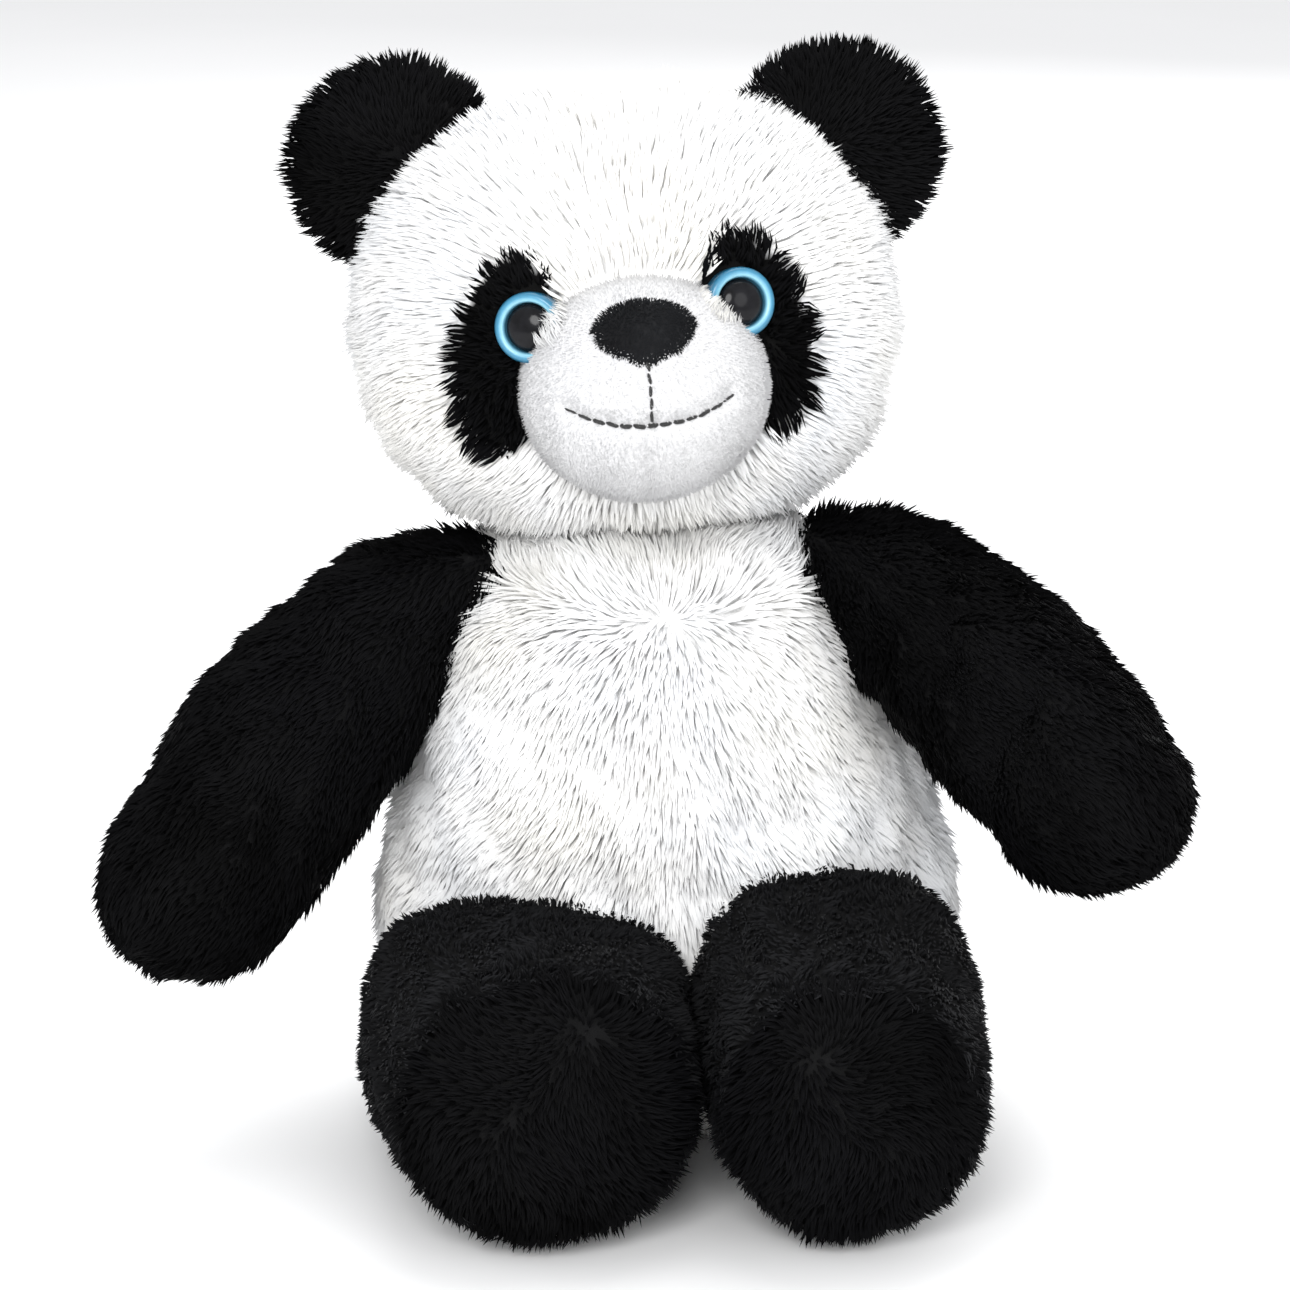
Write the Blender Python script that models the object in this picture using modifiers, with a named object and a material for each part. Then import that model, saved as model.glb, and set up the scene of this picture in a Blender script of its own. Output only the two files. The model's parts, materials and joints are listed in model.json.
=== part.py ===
"""A sitting plush panda, built the way the toy is sewn: pile covers round soft stuffing.

Metres, +Z up. The toy sits on the flat underside of its seat, whose centre is the origin, and it
faces -Y, so its own left side is +X. A cover is one thick solid: backing cloth and the pile on it.
Every limb starts as a ball in a round socket of the body, which is where the real seam bends.
"""
from math import atan2, cos, pi, radians, sin, sqrt

import bmesh
import bpy
from mathutils import Euler, Matrix, Vector

# Cloth
GAP = 0.0003
PILE = 0.009
SHORT_PILE = 0.004
SOCKET_GAP = 0.0030
THREAD = 0.0007
FAR = 0.4

# Head
NECK = Vector((-0.004, 0.020, 0.143))
NECK_BALL = 0.024
NECK_RING_ANGLE = radians(68)
NECK_RING = (NECK_BALL + 2 * GAP + THREAD) * sin(NECK_RING_ANGLE)
NECK_RING_HEIGHT = (NECK_BALL + 2 * GAP + THREAD) * cos(NECK_RING_ANGLE)
HEAD_TURN = Euler((radians(-14), radians(-4), radians(3)), "YXZ")
HEAD_CENTRE = Vector((-0.002, -0.016, 0.0615))
HEAD_HALF = Vector((0.0705, 0.056, 0.0585))
HEAD_SQUARENESS = 2.4
HEAD_SPLIT = 0.006

# Face, measured from the head's centre
MUZZLE_CENTRE = Vector((0.001, -0.045, -0.0210))
MUZZLE_HALF = Vector((0.032, 0.029, 0.0285))
NOSE_HALF = Vector((0.0128, 0.0036, 0.0096))
NOSE_RISE = 0.0150
SMILE_HALF = 0.0205
SMILE_LOW = -0.0078
SMILE_HIGH = -0.0030
PATCH_CENTRE = (0.0300, -0.0092)
PATCH_HALF = (0.0170, 0.0265)
PATCH_LEAN = radians(12)
EYE_X = 0.0262
EYE_Z = {"left": -0.0022, "right": -0.0042}
EYE_RADIUS = 0.0087
PUPIL_RADIUS = 0.0059
EYE_SINK = 0.0052
SHANK_RADIUS = 0.002
WASHER_RADIUS = 0.0075

# Ears
EAR_RADIUS = 0.0285
EAR_HALF_THICKNESS = 0.0080
EAR_RISE = 0.0075
EAR_ROOTS = {"left": Vector((0.0515, -0.006, 0.0325)), "right": Vector((-0.0500, -0.006, 0.0370))}
EAR_LEAN = radians(50)
EAR_CHORD = 0.040
EAR_SWING = Vector((0.0015, 0.0035, 0.0015))

# Body: each section is height, centre x, centre y, half width, half depth
BODY_SECTIONS = [
    (0.000, 0.000, 0.004, 0.048, 0.036),
    (0.003, 0.000, 0.004, 0.060, 0.045),
    (0.013, 0.000, 0.004, 0.072, 0.052),
    (0.034, 0.000, 0.005, 0.077, 0.055),
    (0.058, 0.001, 0.007, 0.078, 0.055),
    (0.080, 0.000, 0.010, 0.073, 0.053),
    (0.098, -0.001, 0.013, 0.062, 0.048),
    (0.114, -0.002, 0.016, 0.054, 0.042),
    (0.127, -0.003, 0.018, 0.045, 0.036),
    (0.137, -0.004, 0.020, 0.034, 0.028),
]
SEAT_HEIGHT = 0.030
SIDE_SEAM = 0.006
BODY_LEAN = radians(-9)

# Limbs: the ball, then sections of distance from the ball's centre, bow, half width, half depth
ARM_BALL = 0.021
ARM_SECTIONS = [
    (0.014, 0.004, 0.0245, 0.0205),
    (0.034, 0.007, 0.0285, 0.0235),
    (0.060, 0.005, 0.0305, 0.0260),
    (0.092, 0.000, 0.0290, 0.0265),
]
ARM_LENGTH = 0.123
SHOULDER = {"left": Vector((0.055, 0.010, 0.134)), "right": Vector((-0.061, 0.012, 0.128))}
ARM_REACH = {"left": Vector((0.52, -0.80, -0.33)), "right": Vector((-0.60, -0.52, -0.60))}

LEG_BALL = 0.032
LEG_SECTIONS = [
    (0.012, 0.001, 0.0350, 0.0322),
    (0.032, 0.001, 0.0362, 0.0335),
    (0.057, 0.000, 0.0357, 0.0368),
]
LEG_LENGTH = 0.079
LEG_FULLNESS = {"left": 0.95, "right": 1.08}
HIP = {"left": Vector((0.0425, -0.045, 0.0410)), "right": Vector((-0.0357, -0.045, 0.0336))}
LEG_REACH = {"left": Vector((0.0029, -0.090, -0.0055)), "right": Vector((0.0105, -0.090, 0.0058))}
SOLE_DEPTH = 0.010

# Hollows in the body that leave room for the limbs to swing, each a ball a little way down the limb
LEG_ROOM = 0.0378
LEG_ROOM_SHIFT = 0.003
ARM_ROOM = 0.0285
ARM_ROOM_SHIFT = 0.010

SIDES = {"left": 1, "right": -1}
LABEL_SIZE = Vector((0.018, 0.0008, 0.026))

COLOURS = {
    "white_plush": ((0.86, 0.86, 0.85), 0.95),
    "black_plush": ((0.012, 0.012, 0.014), 0.90),
    "short_white_plush": ((0.88, 0.88, 0.88), 0.92),
    "nose_cloth": ((0.03, 0.03, 0.032), 0.85),
    "thread_black": ((0.02, 0.02, 0.02), 0.60),
    "thread_white": ((0.80, 0.80, 0.78), 0.60),
    "iris_blue": ((0.16, 0.55, 0.78), 0.25),
    "pupil_black": ((0.01, 0.01, 0.012), 0.08),
    "washer_plastic": ((0.85, 0.85, 0.82), 0.45),
    "stuffing": ((0.90, 0.90, 0.88), 1.00),
    "label_cloth": ((0.88, 0.87, 0.84), 0.80),
}


def clear_scene():
    for obj in list(bpy.data.objects):
        bpy.data.objects.remove(obj)


def make_collection(name):
    collection = bpy.data.collections.new(name)
    bpy.context.scene.collection.children.link(collection)
    return collection


def material(name):
    found = bpy.data.materials.get(name)
    if found:
        return found
    colour, roughness = COLOURS[name]
    made = bpy.data.materials.new(name)
    made.use_nodes = True
    shader = made.node_tree.nodes["Principled BSDF"]
    shader.inputs["Base Color"].default_value = (*colour, 1)
    shader.inputs["Roughness"].default_value = roughness
    shader.inputs["Metallic"].default_value = 0
    return made


# Placing

def frame(name, parent=None, location=(0, 0, 0), rotation=None):
    """An empty that holds the pieces of one moving part, with its origin on the joint."""
    empty = bpy.data.objects.new(name, None)
    toy.objects.link(empty)
    empty.empty_display_size = 0.01
    empty.parent = parent
    empty.location = location
    if rotation:
        empty.rotation_mode = "QUATERNION"
        empty.rotation_quaternion = rotation.to_quaternion()
    bpy.context.view_layer.update()
    return empty


def along(direction, side_hint):
    """A rotation whose -Z runs along a limb and whose X lies as near as it can to side_hint."""
    down = -direction.normalized()
    across = (side_hint - down * side_hint.dot(down)).normalized()
    return Matrix((across, down.cross(across), down)).transposed()


def as_object(name, bm, parent=None):
    mesh = bpy.data.meshes.new(name)
    bmesh.ops.recalc_face_normals(bm, faces=bm.faces)
    bm.to_mesh(mesh)
    bm.free()
    mesh.shade_smooth()
    obj = bpy.data.objects.new(name, mesh)
    obj.parent = parent
    return obj


def piece(name, look, bm, parent=None):
    obj = as_object(name, bm, parent)
    obj.data.materials.append(material(look))
    toy.objects.link(obj)
    return obj


def cutter(name, bm, parent=None):
    obj = as_object(name, bm, parent)
    obj.hide_render = True
    obj.display_type = "WIRE"
    cutters.objects.link(obj)
    return obj


# Modifiers

def boolean(obj, tool, operation):
    step = obj.modifiers.new(tool.name, "BOOLEAN")
    step.operation = operation
    step.object = tool


def cut_away(obj, *tools):
    for tool in tools:
        boolean(obj, tool, "DIFFERENCE")


def keep_inside(obj, *tools):
    for tool in tools:
        boolean(obj, tool, "INTERSECT")


def hollow(obj, thickness):
    """Turns a closed outer surface into the wall of a cover."""
    wall = obj.modifiers.new("wall", "SOLIDIFY")
    wall.thickness = thickness
    wall.offset = -1


def shrink(obj, depth):
    """Pulls a surface inwards, which leaves the stuffing that fills a cover."""
    inwards = obj.modifiers.new("inside the cover", "DISPLACE")
    inwards.mid_level = 0
    inwards.strength = -depth


def half_space(name, parent, axis, side, at=0.0):
    """A large box on one side of the plane where the parent's axis is at, half a gap back."""
    bm = bmesh.new()
    bmesh.ops.create_cube(bm, size=FAR)
    shift = [0.0, 0.0, 0.0]
    shift["XYZ".index(axis)] = at + side * (FAR / 2 + GAP / 2)
    bmesh.ops.translate(bm, verts=bm.verts, vec=shift)
    return cutter(name, bm, parent)


# Basic shapes

def blob(segments, rings, shape):
    """A sphere whose points, taken from a unit sphere, are moved by shape. No point column
    lies in the planes x = 0 and y = 0, where covers are split."""
    bm = bmesh.new()
    bmesh.ops.create_uvsphere(bm, u_segments=segments, v_segments=rings, radius=1)
    bmesh.ops.rotate(bm, verts=bm.verts, matrix=Matrix.Rotation(pi / segments, 3, "Z"))
    for vertex in bm.verts:
        vertex.co = shape(vertex.co)
    return bm


def ellipsoid(centre, half, segments=20, rings=12):
    def shape(unit):
        return centre + Vector((unit.x * half.x, unit.y * half.y, unit.z * half.z))
    return blob(segments, rings, shape)


def ball(centre, radius, segments=20, rings=12):
    return ellipsoid(centre, Vector((radius, radius, radius)), segments, rings)


def cylinder(radius, depth, centre=(0, 0, 0), axis="Z", segments=24):
    bm = bmesh.new()
    bmesh.ops.create_cone(bm, cap_ends=True, segments=segments, radius1=radius, radius2=radius,
                          depth=depth)
    if axis == "X":
        bmesh.ops.rotate(bm, verts=bm.verts, matrix=Matrix.Rotation(pi / 2, 3, "Y"))
    bmesh.ops.translate(bm, verts=bm.verts, vec=centre)
    return bm


def loft(sections, sides=24):
    """A closed skin through level ellipses, each (height, centre x, centre y, half x, half y)."""
    bm = bmesh.new()
    rings = []
    for height, x, y, half_x, half_y in sections:
        ring = []
        for step in range(sides):
            angle = 2 * pi * (step + 0.5) / sides
            ring.append(bm.verts.new((x + half_x * cos(angle), y + half_y * sin(angle), height)))
        rings.append(ring)
    for lower, upper in zip(rings, rings[1:]):
        for step in range(sides):
            after = (step + 1) % sides
            bm.faces.new((lower[step], lower[after], upper[after], upper[step]))
    bm.faces.new(reversed(rings[0]))
    bm.faces.new(rings[-1])
    return bm


def turned(name, look, profile, parent, steps=20):
    """A turned piece: the profile's (radius, height) points run down the outer side."""
    bm = bmesh.new()
    points = [bm.verts.new((radius, 0, height)) for radius, height in profile]
    for first, second in zip(points, points[1:]):
        bm.edges.new((first, second))
    obj = piece(name, look, bm, parent)
    screw = obj.modifiers.new("turn", "SCREW")
    screw.steps = steps
    screw.render_steps = steps
    screw.use_merge_vertices = True
    screw.merge_threshold = 0.00001
    return obj


def thread(name, look, points, parent, closed=False):
    """A run of sewing thread through the points, as a mesh tube."""
    curve = bpy.data.curves.new(name, "CURVE")
    curve.dimensions = "3D"
    curve.bevel_depth = THREAD
    curve.bevel_resolution = 1
    curve.use_fill_caps = True
    spline = curve.splines.new("POLY")
    spline.points.add(len(points) - 1)
    for place, point in zip(spline.points, points):
        place.co = (*point, 1)
    spline.use_cyclic_u = closed
    guide = bpy.data.objects.new(name + "_route", curve)
    toy.objects.link(guide)
    bpy.context.view_layer.update()
    graph = bpy.context.evaluated_depsgraph_get()
    mesh = bpy.data.meshes.new_from_object(guide.evaluated_get(graph))
    bpy.data.objects.remove(guide)
    bm = bmesh.new()
    bm.from_mesh(mesh)
    bpy.data.meshes.remove(mesh)
    bmesh.ops.remove_doubles(bm, verts=bm.verts, dist=0.00001)
    return piece(name, look, bm, parent)


def ring_points(radius, height, count=16):
    return [
        Vector((radius * cos(2 * pi * step / count), radius * sin(2 * pi * step / count), height))
        for step in range(count)
    ]


# Body

def neck_sections():
    """The round stump that carries the head, above the shoulders."""
    sections = []
    for degrees in (72, 54, 36, 18, 6):
        angle = radians(degrees)
        reach = NECK_BALL * sin(angle)
        sections.append((NECK.z + NECK_BALL * cos(angle), NECK.x, NECK.y, reach, reach))
    return sections


def body_skin(sides=20):
    return loft(BODY_SECTIONS + neck_sections(), sides)


def body_back(height):
    """The y of the body's rearmost line at a height."""
    for low, high in zip(BODY_SECTIONS, BODY_SECTIONS[1:]):
        if low[0] <= height <= high[0]:
            share = (height - low[0]) / (high[0] - low[0])
            return low[2] + low[4] + share * (high[2] + high[4] - low[2] - low[4])
    raise ValueError("no section at this height")


def make_body(sockets):
    lean = frame("side_seam_plane", None, (0, SIDE_SEAM, SEAT_HEIGHT), Euler((BODY_LEAN, 0, 0)))
    front = half_space("front_of_side_seam", lean, "Y", -1)
    rear = half_space("rear_of_side_seam", lean, "Y", 1)
    above = half_space("above_seat", None, "Z", 1, SEAT_HEIGHT)
    below = half_space("below_seat", None, "Z", -1, SEAT_HEIGHT)
    groove = cutter("neck_groove", ring_tube(NECK, NECK_RING, NECK_RING_HEIGHT))
    for side, sign in SIDES.items():
        flank = half_space("body_" + side, None, "X", sign)
        for place, region in (("belly", front), ("back", rear)):
            cover = piece(f"{place}_cover_{side}", "white_plush", body_skin())
            hollow(cover, PILE)
            keep_inside(cover, above, region, flank)
            cut_away(cover, *sockets.values(), groove)
    seat = piece("seat_cover", "white_plush", body_skin())
    hollow(seat, PILE)
    keep_inside(seat, below)
    cut_away(seat, *[room for name, room in sockets.items() if name.startswith("leg")])
    stuffing = piece("body_stuffing", "stuffing", body_skin())
    shrink(stuffing, PILE + 2 * GAP)
    cut_away(stuffing, *sockets.values())


def ring_tube(centre, radius, height, thickness=THREAD + 2 * GAP):
    """A ring of round section, used to cut the groove that a seam thread lies in."""
    bm = bmesh.new()
    bmesh.ops.create_circle(bm, segments=10, radius=thickness)
    bmesh.ops.rotate(bm, verts=bm.verts, matrix=Matrix.Rotation(pi / 2, 3, "X"))
    bmesh.ops.translate(bm, verts=bm.verts, vec=(radius, 0, 0))
    edges = list(bm.edges)
    bmesh.ops.spin(bm, geom=list(bm.verts) + edges, cent=(0, 0, 0), axis=(0, 0, 1), dvec=(0, 0, 0),
                   angle=2 * pi, steps=24, use_merge=True)
    bmesh.ops.remove_doubles(bm, verts=bm.verts, dist=0.00001)
    bmesh.ops.translate(bm, verts=bm.verts, vec=centre + Vector((0, 0, height)))
    return bm


def make_closing_stitches():
    """The ladder of hand stitches that closes the toy's back after it is stuffed."""
    points = []
    count = 9
    low, high = 0.045, 0.095
    for step in range(count):
        height = low + (high - low) * step / (count - 1)
        across = 0.0016 if step % 2 else -0.0016
        points.append(Vector((across, body_back(height) + THREAD + 2 * GAP, height)))
    thread("closing_stitches", "thread_white", points, None)


def make_label():
    """A blank cloth label, caught in the seat seam beside the tail end of the back."""
    bm = bmesh.new()
    bmesh.ops.create_cube(bm, size=1)
    bmesh.ops.scale(bm, verts=bm.verts, vec=LABEL_SIZE)
    bmesh.ops.translate(bm, verts=bm.verts, vec=(0, 0, -LABEL_SIZE.z / 2))
    place = frame("label_hem", None, (-0.030, 0.0555, 0.0285), Euler((radians(18), 0, radians(16))))
    piece("care_label", "label_cloth", bm, place)


# Head

def head_shape(unit):
    """A rounded box between a ball and a cube: level sections are ellipses, side views are
    fuller than a circle."""
    level = sqrt(max(0.0, 1 - unit.z * unit.z))
    full = (level ** HEAD_SQUARENESS + abs(unit.z) ** HEAD_SQUARENESS) ** (-1 / HEAD_SQUARENESS)
    return HEAD_CENTRE + Vector((
        unit.x * full * HEAD_HALF.x, unit.y * full * HEAD_HALF.y, unit.z * full * HEAD_HALF.z))


def head_skin(segments=22, rings=12):
    return blob(segments, rings, head_shape)


def head_front_y(x, z):
    """The y of the head's front, from its centre, where x and z are measured from its centre."""
    height = abs(z) / HEAD_HALF.z
    level = (1 - height ** HEAD_SQUARENESS) ** (1 / HEAD_SQUARENESS)
    return -HEAD_HALF.y * sqrt(level * level - (x / HEAD_HALF.x) ** 2)


def patch_prism(name, side, grow):
    """An oval prism through the face, that bounds an eye patch or the opening for it."""
    sign = SIDES[side]
    bm = bmesh.new()
    bmesh.ops.create_cone(bm, cap_ends=True, segments=28, radius1=1, radius2=1, depth=1)
    bmesh.ops.rotate(bm, verts=bm.verts, matrix=Matrix.Rotation(pi / 2, 3, "X"))
    bmesh.ops.scale(bm, verts=bm.verts, vec=(PATCH_HALF[0] + grow, HEAD_HALF.y, PATCH_HALF[1] + grow))
    bmesh.ops.rotate(bm, verts=bm.verts, matrix=Matrix.Rotation(-sign * PATCH_LEAN, 3, "Y"))
    middle = HEAD_CENTRE + Vector((sign * PATCH_CENTRE[0], -HEAD_HALF.y, PATCH_CENTRE[1]))
    bmesh.ops.translate(bm, verts=bm.verts, vec=middle)
    return cutter(name, bm, head)


def make_head(openings):
    front = half_space("front_of_head", head, "Y", -1, HEAD_CENTRE.y + HEAD_SPLIT)
    rear = half_space("rear_of_head", head, "Y", 1, HEAD_CENTRE.y + HEAD_SPLIT)
    face = piece("face_cover", "white_plush", head_skin(), head)
    hollow(face, PILE)
    keep_inside(face, front)
    cut_away(face, *openings["all"], *openings["face"])
    for side, sign in SIDES.items():
        cover = piece("head_back_cover_" + side, "white_plush", head_skin(), head)
        hollow(cover, PILE)
        keep_inside(cover, rear, half_space("head_" + side, head, "X", sign, HEAD_CENTRE.x))
        cut_away(cover, *openings["all"])
    stuffing = piece("head_stuffing", "stuffing", head_skin(), head)
    shrink(stuffing, PILE + 2 * GAP)
    cut_away(stuffing, *openings["all"], *openings["stuffing"])


def muzzle_skin():
    return ellipsoid(HEAD_CENTRE + MUZZLE_CENTRE, MUZZLE_HALF, 18, 12)


def make_muzzle(eye_rooms):
    """A short-pile bag in two halves that meet in the chin seam, let into the face."""
    for side, sign in SIDES.items():
        cover = piece("muzzle_cover_" + side, "short_white_plush", muzzle_skin(), head)
        hollow(cover, SHORT_PILE)
        middle = HEAD_CENTRE.x + MUZZLE_CENTRE.x
        keep_inside(cover, half_space("muzzle_" + side, head, "X", sign, middle))
        cut_away(cover, *eye_rooms[side])
    stuffing = piece("muzzle_stuffing", "stuffing", muzzle_skin(), head)
    shrink(stuffing, SHORT_PILE + 2 * GAP)
    cut_away(stuffing, *eye_rooms["left"], *eye_rooms["right"])


def grown(half, by):
    return half + Vector((by, by, by))


def muzzle_point(x, z, lift):
    """A point of the muzzle's front, lifted off it, where x and z are from its centre."""
    half = grown(MUZZLE_HALF, lift)
    forward = -half.y * sqrt(1 - (x / half.x) ** 2 - (z / half.z) ** 2)
    return HEAD_CENTRE + MUZZLE_CENTRE + Vector((x, forward, z))


def make_nose():
    """A domed pad of dark cloth on the top of the muzzle's front."""
    pitch = atan2(NOSE_RISE / MUZZLE_HALF.z ** 2, -muzzle_offset(NOSE_RISE) / MUZZLE_HALF.y ** 2)
    middle = muzzle_point(0, NOSE_RISE, 0)
    bm = ellipsoid(Vector((0, 0, 0)), NOSE_HALF, 16, 10)
    bmesh.ops.rotate(bm, verts=bm.verts, matrix=Matrix.Rotation(-pitch, 3, "X"))
    bmesh.ops.translate(bm, verts=bm.verts, vec=middle)
    nose = piece("nose_pad", "nose_cloth", bm, head)
    clearance = ellipsoid(HEAD_CENTRE + MUZZLE_CENTRE, grown(MUZZLE_HALF, GAP), 28, 18)
    cut_away(nose, cutter("muzzle_under_nose", clearance, head))


def muzzle_offset(z):
    return -MUZZLE_HALF.y * sqrt(1 - (z / MUZZLE_HALF.z) ** 2)


def make_mouth():
    """The smile and the line down from the nose, in black thread laid on the muzzle."""
    lift = THREAD + 2 * GAP
    count = 15
    smile = []
    for step in range(count):
        x = SMILE_HALF * (2 * step / (count - 1) - 1)
        rise = (SMILE_HIGH - SMILE_LOW) * (x / SMILE_HALF) ** 2
        smile.append(muzzle_point(x, SMILE_LOW + rise, lift))
    thread("smile_stitch", "thread_black", smile, head)
    top = NOSE_RISE - NOSE_HALF.z * 0.95
    bottom = SMILE_LOW + 3 * THREAD
    drop = [muzzle_point(0, top + (bottom - top) * step / 4, lift) for step in range(5)]
    thread("lip_stitch", "thread_black", drop, head)


def eye_frame(side):
    """A frame on the face with +Z out along the eye's shank."""
    x = SIDES[side] * EYE_X
    z = EYE_Z[side]
    y = head_front_y(x, z)
    outward = Vector((x / HEAD_HALF.x ** 2, y / HEAD_HALF.y ** 2, z / HEAD_HALF.z ** 2))
    return frame("eye_" + side, head, HEAD_CENTRE + Vector((x, y, z)),
                 along(-outward, Vector((1, 0, 0))))


def make_eye(side, place):
    """A plastic safety eye: a blue ring with a stem, a black dome, and the washer that locks it."""
    back = -EYE_SINK
    crest = 0.0010
    recess = back + 0.0030
    turned("eye_ring_" + side, "iris_blue", [
        (0, recess),
        (PUPIL_RADIUS + GAP, recess),
        (PUPIL_RADIUS + GAP, crest),
        (PUPIL_RADIUS + 0.0012, crest + 0.0004),
        (EYE_RADIUS - 0.0008, crest - 0.0010),
        (EYE_RADIUS, crest - 0.0026),
        (EYE_RADIUS, back),
        (SHANK_RADIUS, back),
        (SHANK_RADIUS, back - 0.0125),
        (SHANK_RADIUS - 0.0006, back - 0.0132),
        (0, back - 0.0132),
    ], place)
    dome_base = recess + GAP
    dome_height = 0.0062
    dome = [(0, dome_base + dome_height)]
    for degrees in (18, 36, 54, 72):
        angle = radians(degrees)
        dome.append((PUPIL_RADIUS * sin(angle), dome_base + 0.0022 + (dome_height - 0.0022) * cos(angle)))
    dome += [(PUPIL_RADIUS, dome_base + 0.0022), (PUPIL_RADIUS, dome_base), (0, dome_base)]
    turned("eye_dome_" + side, "pupil_black", dome, place)
    top = -PILE - 2 * GAP
    inner = SHANK_RADIUS + GAP
    turned("eye_washer_" + side, "washer_plastic", [
        (inner, top),
        (WASHER_RADIUS, top),
        (WASHER_RADIUS, top - 0.0012),
        (inner + 0.0012, top - 0.0024),
        (inner, top - 0.0024),
        (inner, top),
    ], place, steps=16)


def eye_cutters(side, place):
    """The pocket in the pile, the hole for the stem and the room for the washer."""
    pocket = cylinder(EYE_RADIUS + 2 * GAP, 0.020, (0, 0, 0.010 - EYE_SINK - 2 * GAP))
    hole = cylinder(SHANK_RADIUS + 2 * GAP, 0.030, (0, 0, -0.010), segments=16)
    room = cylinder(WASHER_RADIUS + 2 * GAP, 0.010, (0, 0, -PILE - 0.0030 + 0.005 - 4 * GAP))
    shaft = cylinder(SHANK_RADIUS + 2 * GAP, 0.030, (0, 0, -EYE_SINK - 0.0138 + 0.015), segments=16)
    return (
        cutter("eye_pocket_" + side, pocket, place),
        cutter("eye_hole_" + side, hole, place),
        cutter("washer_room_" + side, room, place),
        cutter("stem_room_" + side, shaft, place),
    )


def make_patch(side, tools):
    patch = piece("eye_patch_" + side, "black_plush", head_skin(), head)
    hollow(patch, PILE)
    keep_inside(patch, patch_prism("patch_outline_" + side, side, 0))
    cut_away(patch, *tools)


# Ears

def ear_frame(side):
    """A frame on the ear's fold: X runs along the fold, Z out through the ear's middle."""
    sign = SIDES[side]
    return frame("ear_" + side, head, HEAD_CENTRE + EAR_ROOTS[side], Matrix.Rotation(sign * EAR_LEAN, 3, "Y"))


def ear_root(grow):
    return cylinder(EAR_HALF_THICKNESS + grow, EAR_CHORD + 2 * grow, axis="X", segments=28)


def ear_disc(grow):
    half = Vector((EAR_RADIUS, EAR_HALF_THICKNESS, EAR_RADIUS))
    return ellipsoid(Vector((0, 0, EAR_RISE)), half + grow, 18, 12)


def ear_clearance(side):
    """The room in the face cover for the ear to fold forwards and back."""
    place = ears[side]
    disc = cutter("ear_swing_" + side, ear_disc(EAR_SWING), place)
    keep_inside(disc, half_space("above_root_" + side, place, "Z", 1, -EAR_SWING.x))
    return disc


def make_ear(side, place):
    """Two cloth discs back to back, with a round root that lets the ear fold."""
    above = half_space("above_fold_" + side, place, "Z", 1, -GAP / 2)
    root = cutter("ear_root_" + side, ear_root(0), place)
    for face, sign in (("front", -1), ("back", 1)):
        cover = piece(f"ear_{face}_{side}", "black_plush", ear_disc(Vector((0, 0, 0))), place)
        keep_inside(cover, above)
        boolean(cover, root, "UNION")
        keep_inside(cover, half_space(f"ear_{face}_half_{side}", place, "Y", sign))


# Limbs

def limb_skin(ball_radius, sections, length, squareness, outward, sides):
    """A limb hung from the origin along -Z: a ball, a body through the sections, a round end."""
    rings = []
    for degrees in (8, 30, 54, 78):
        angle = radians(degrees)
        rings.append((ball_radius * cos(angle), 0, 0, ball_radius * sin(angle), ball_radius * sin(angle)))
    for distance, bow, half_x, half_y in sections:
        rings.append((-distance, outward * bow, 0, half_x, half_y))
    for share in (0.45, 0.78, 0.95):
        fall = (1 - share ** squareness) ** (1 / squareness)
        end = -distance - (length - distance) * share
        rings.append((end, outward * bow, 0, half_x * fall, half_y * fall))
    return loft(rings[::-1], sides)


def arm_skin(side, sides=16):
    return limb_skin(ARM_BALL, ARM_SECTIONS, ARM_LENGTH, 2.1, SIDES[side], sides)


def leg_skin(side, sides=16):
    fullness = LEG_FULLNESS[side]
    sections = [(distance, bow, half_x * fullness, half_y) for distance, bow, half_x, half_y in LEG_SECTIONS]
    return limb_skin(LEG_BALL, sections, LEG_LENGTH, 2.6, SIDES[side], sides)


def limb_room(name, joint, reach, shift, radius):
    """A hollow beside a limb's socket, into which the limb turns."""
    return cutter(name, ball(joint + reach.normalized() * shift, radius))


def seam_ring(name, look, ball_radius, place):
    """The ring of seam thread that draws a limb's end to the body, behind the limb's ball."""
    reach = ball_radius + 2 * GAP + THREAD
    angle = radians(48)
    thread(name, look, ring_points(reach * sin(angle), reach * cos(angle)), place, closed=True)


def make_arm(side, place):
    for name, sign in (("front", -1), ("back", 1)):
        cover = piece(f"arm_{name}_cover_{side}", "black_plush", arm_skin(side), place)
        hollow(cover, PILE)
        keep_inside(cover, half_space(f"arm_{name}_{side}", place, "Y", sign))
    stuffing = piece("arm_stuffing_" + side, "stuffing", arm_skin(side), place)
    shrink(stuffing, PILE + 2 * GAP)
    seam_ring("shoulder_seam_" + side, "thread_black", ARM_BALL, place)


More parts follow.
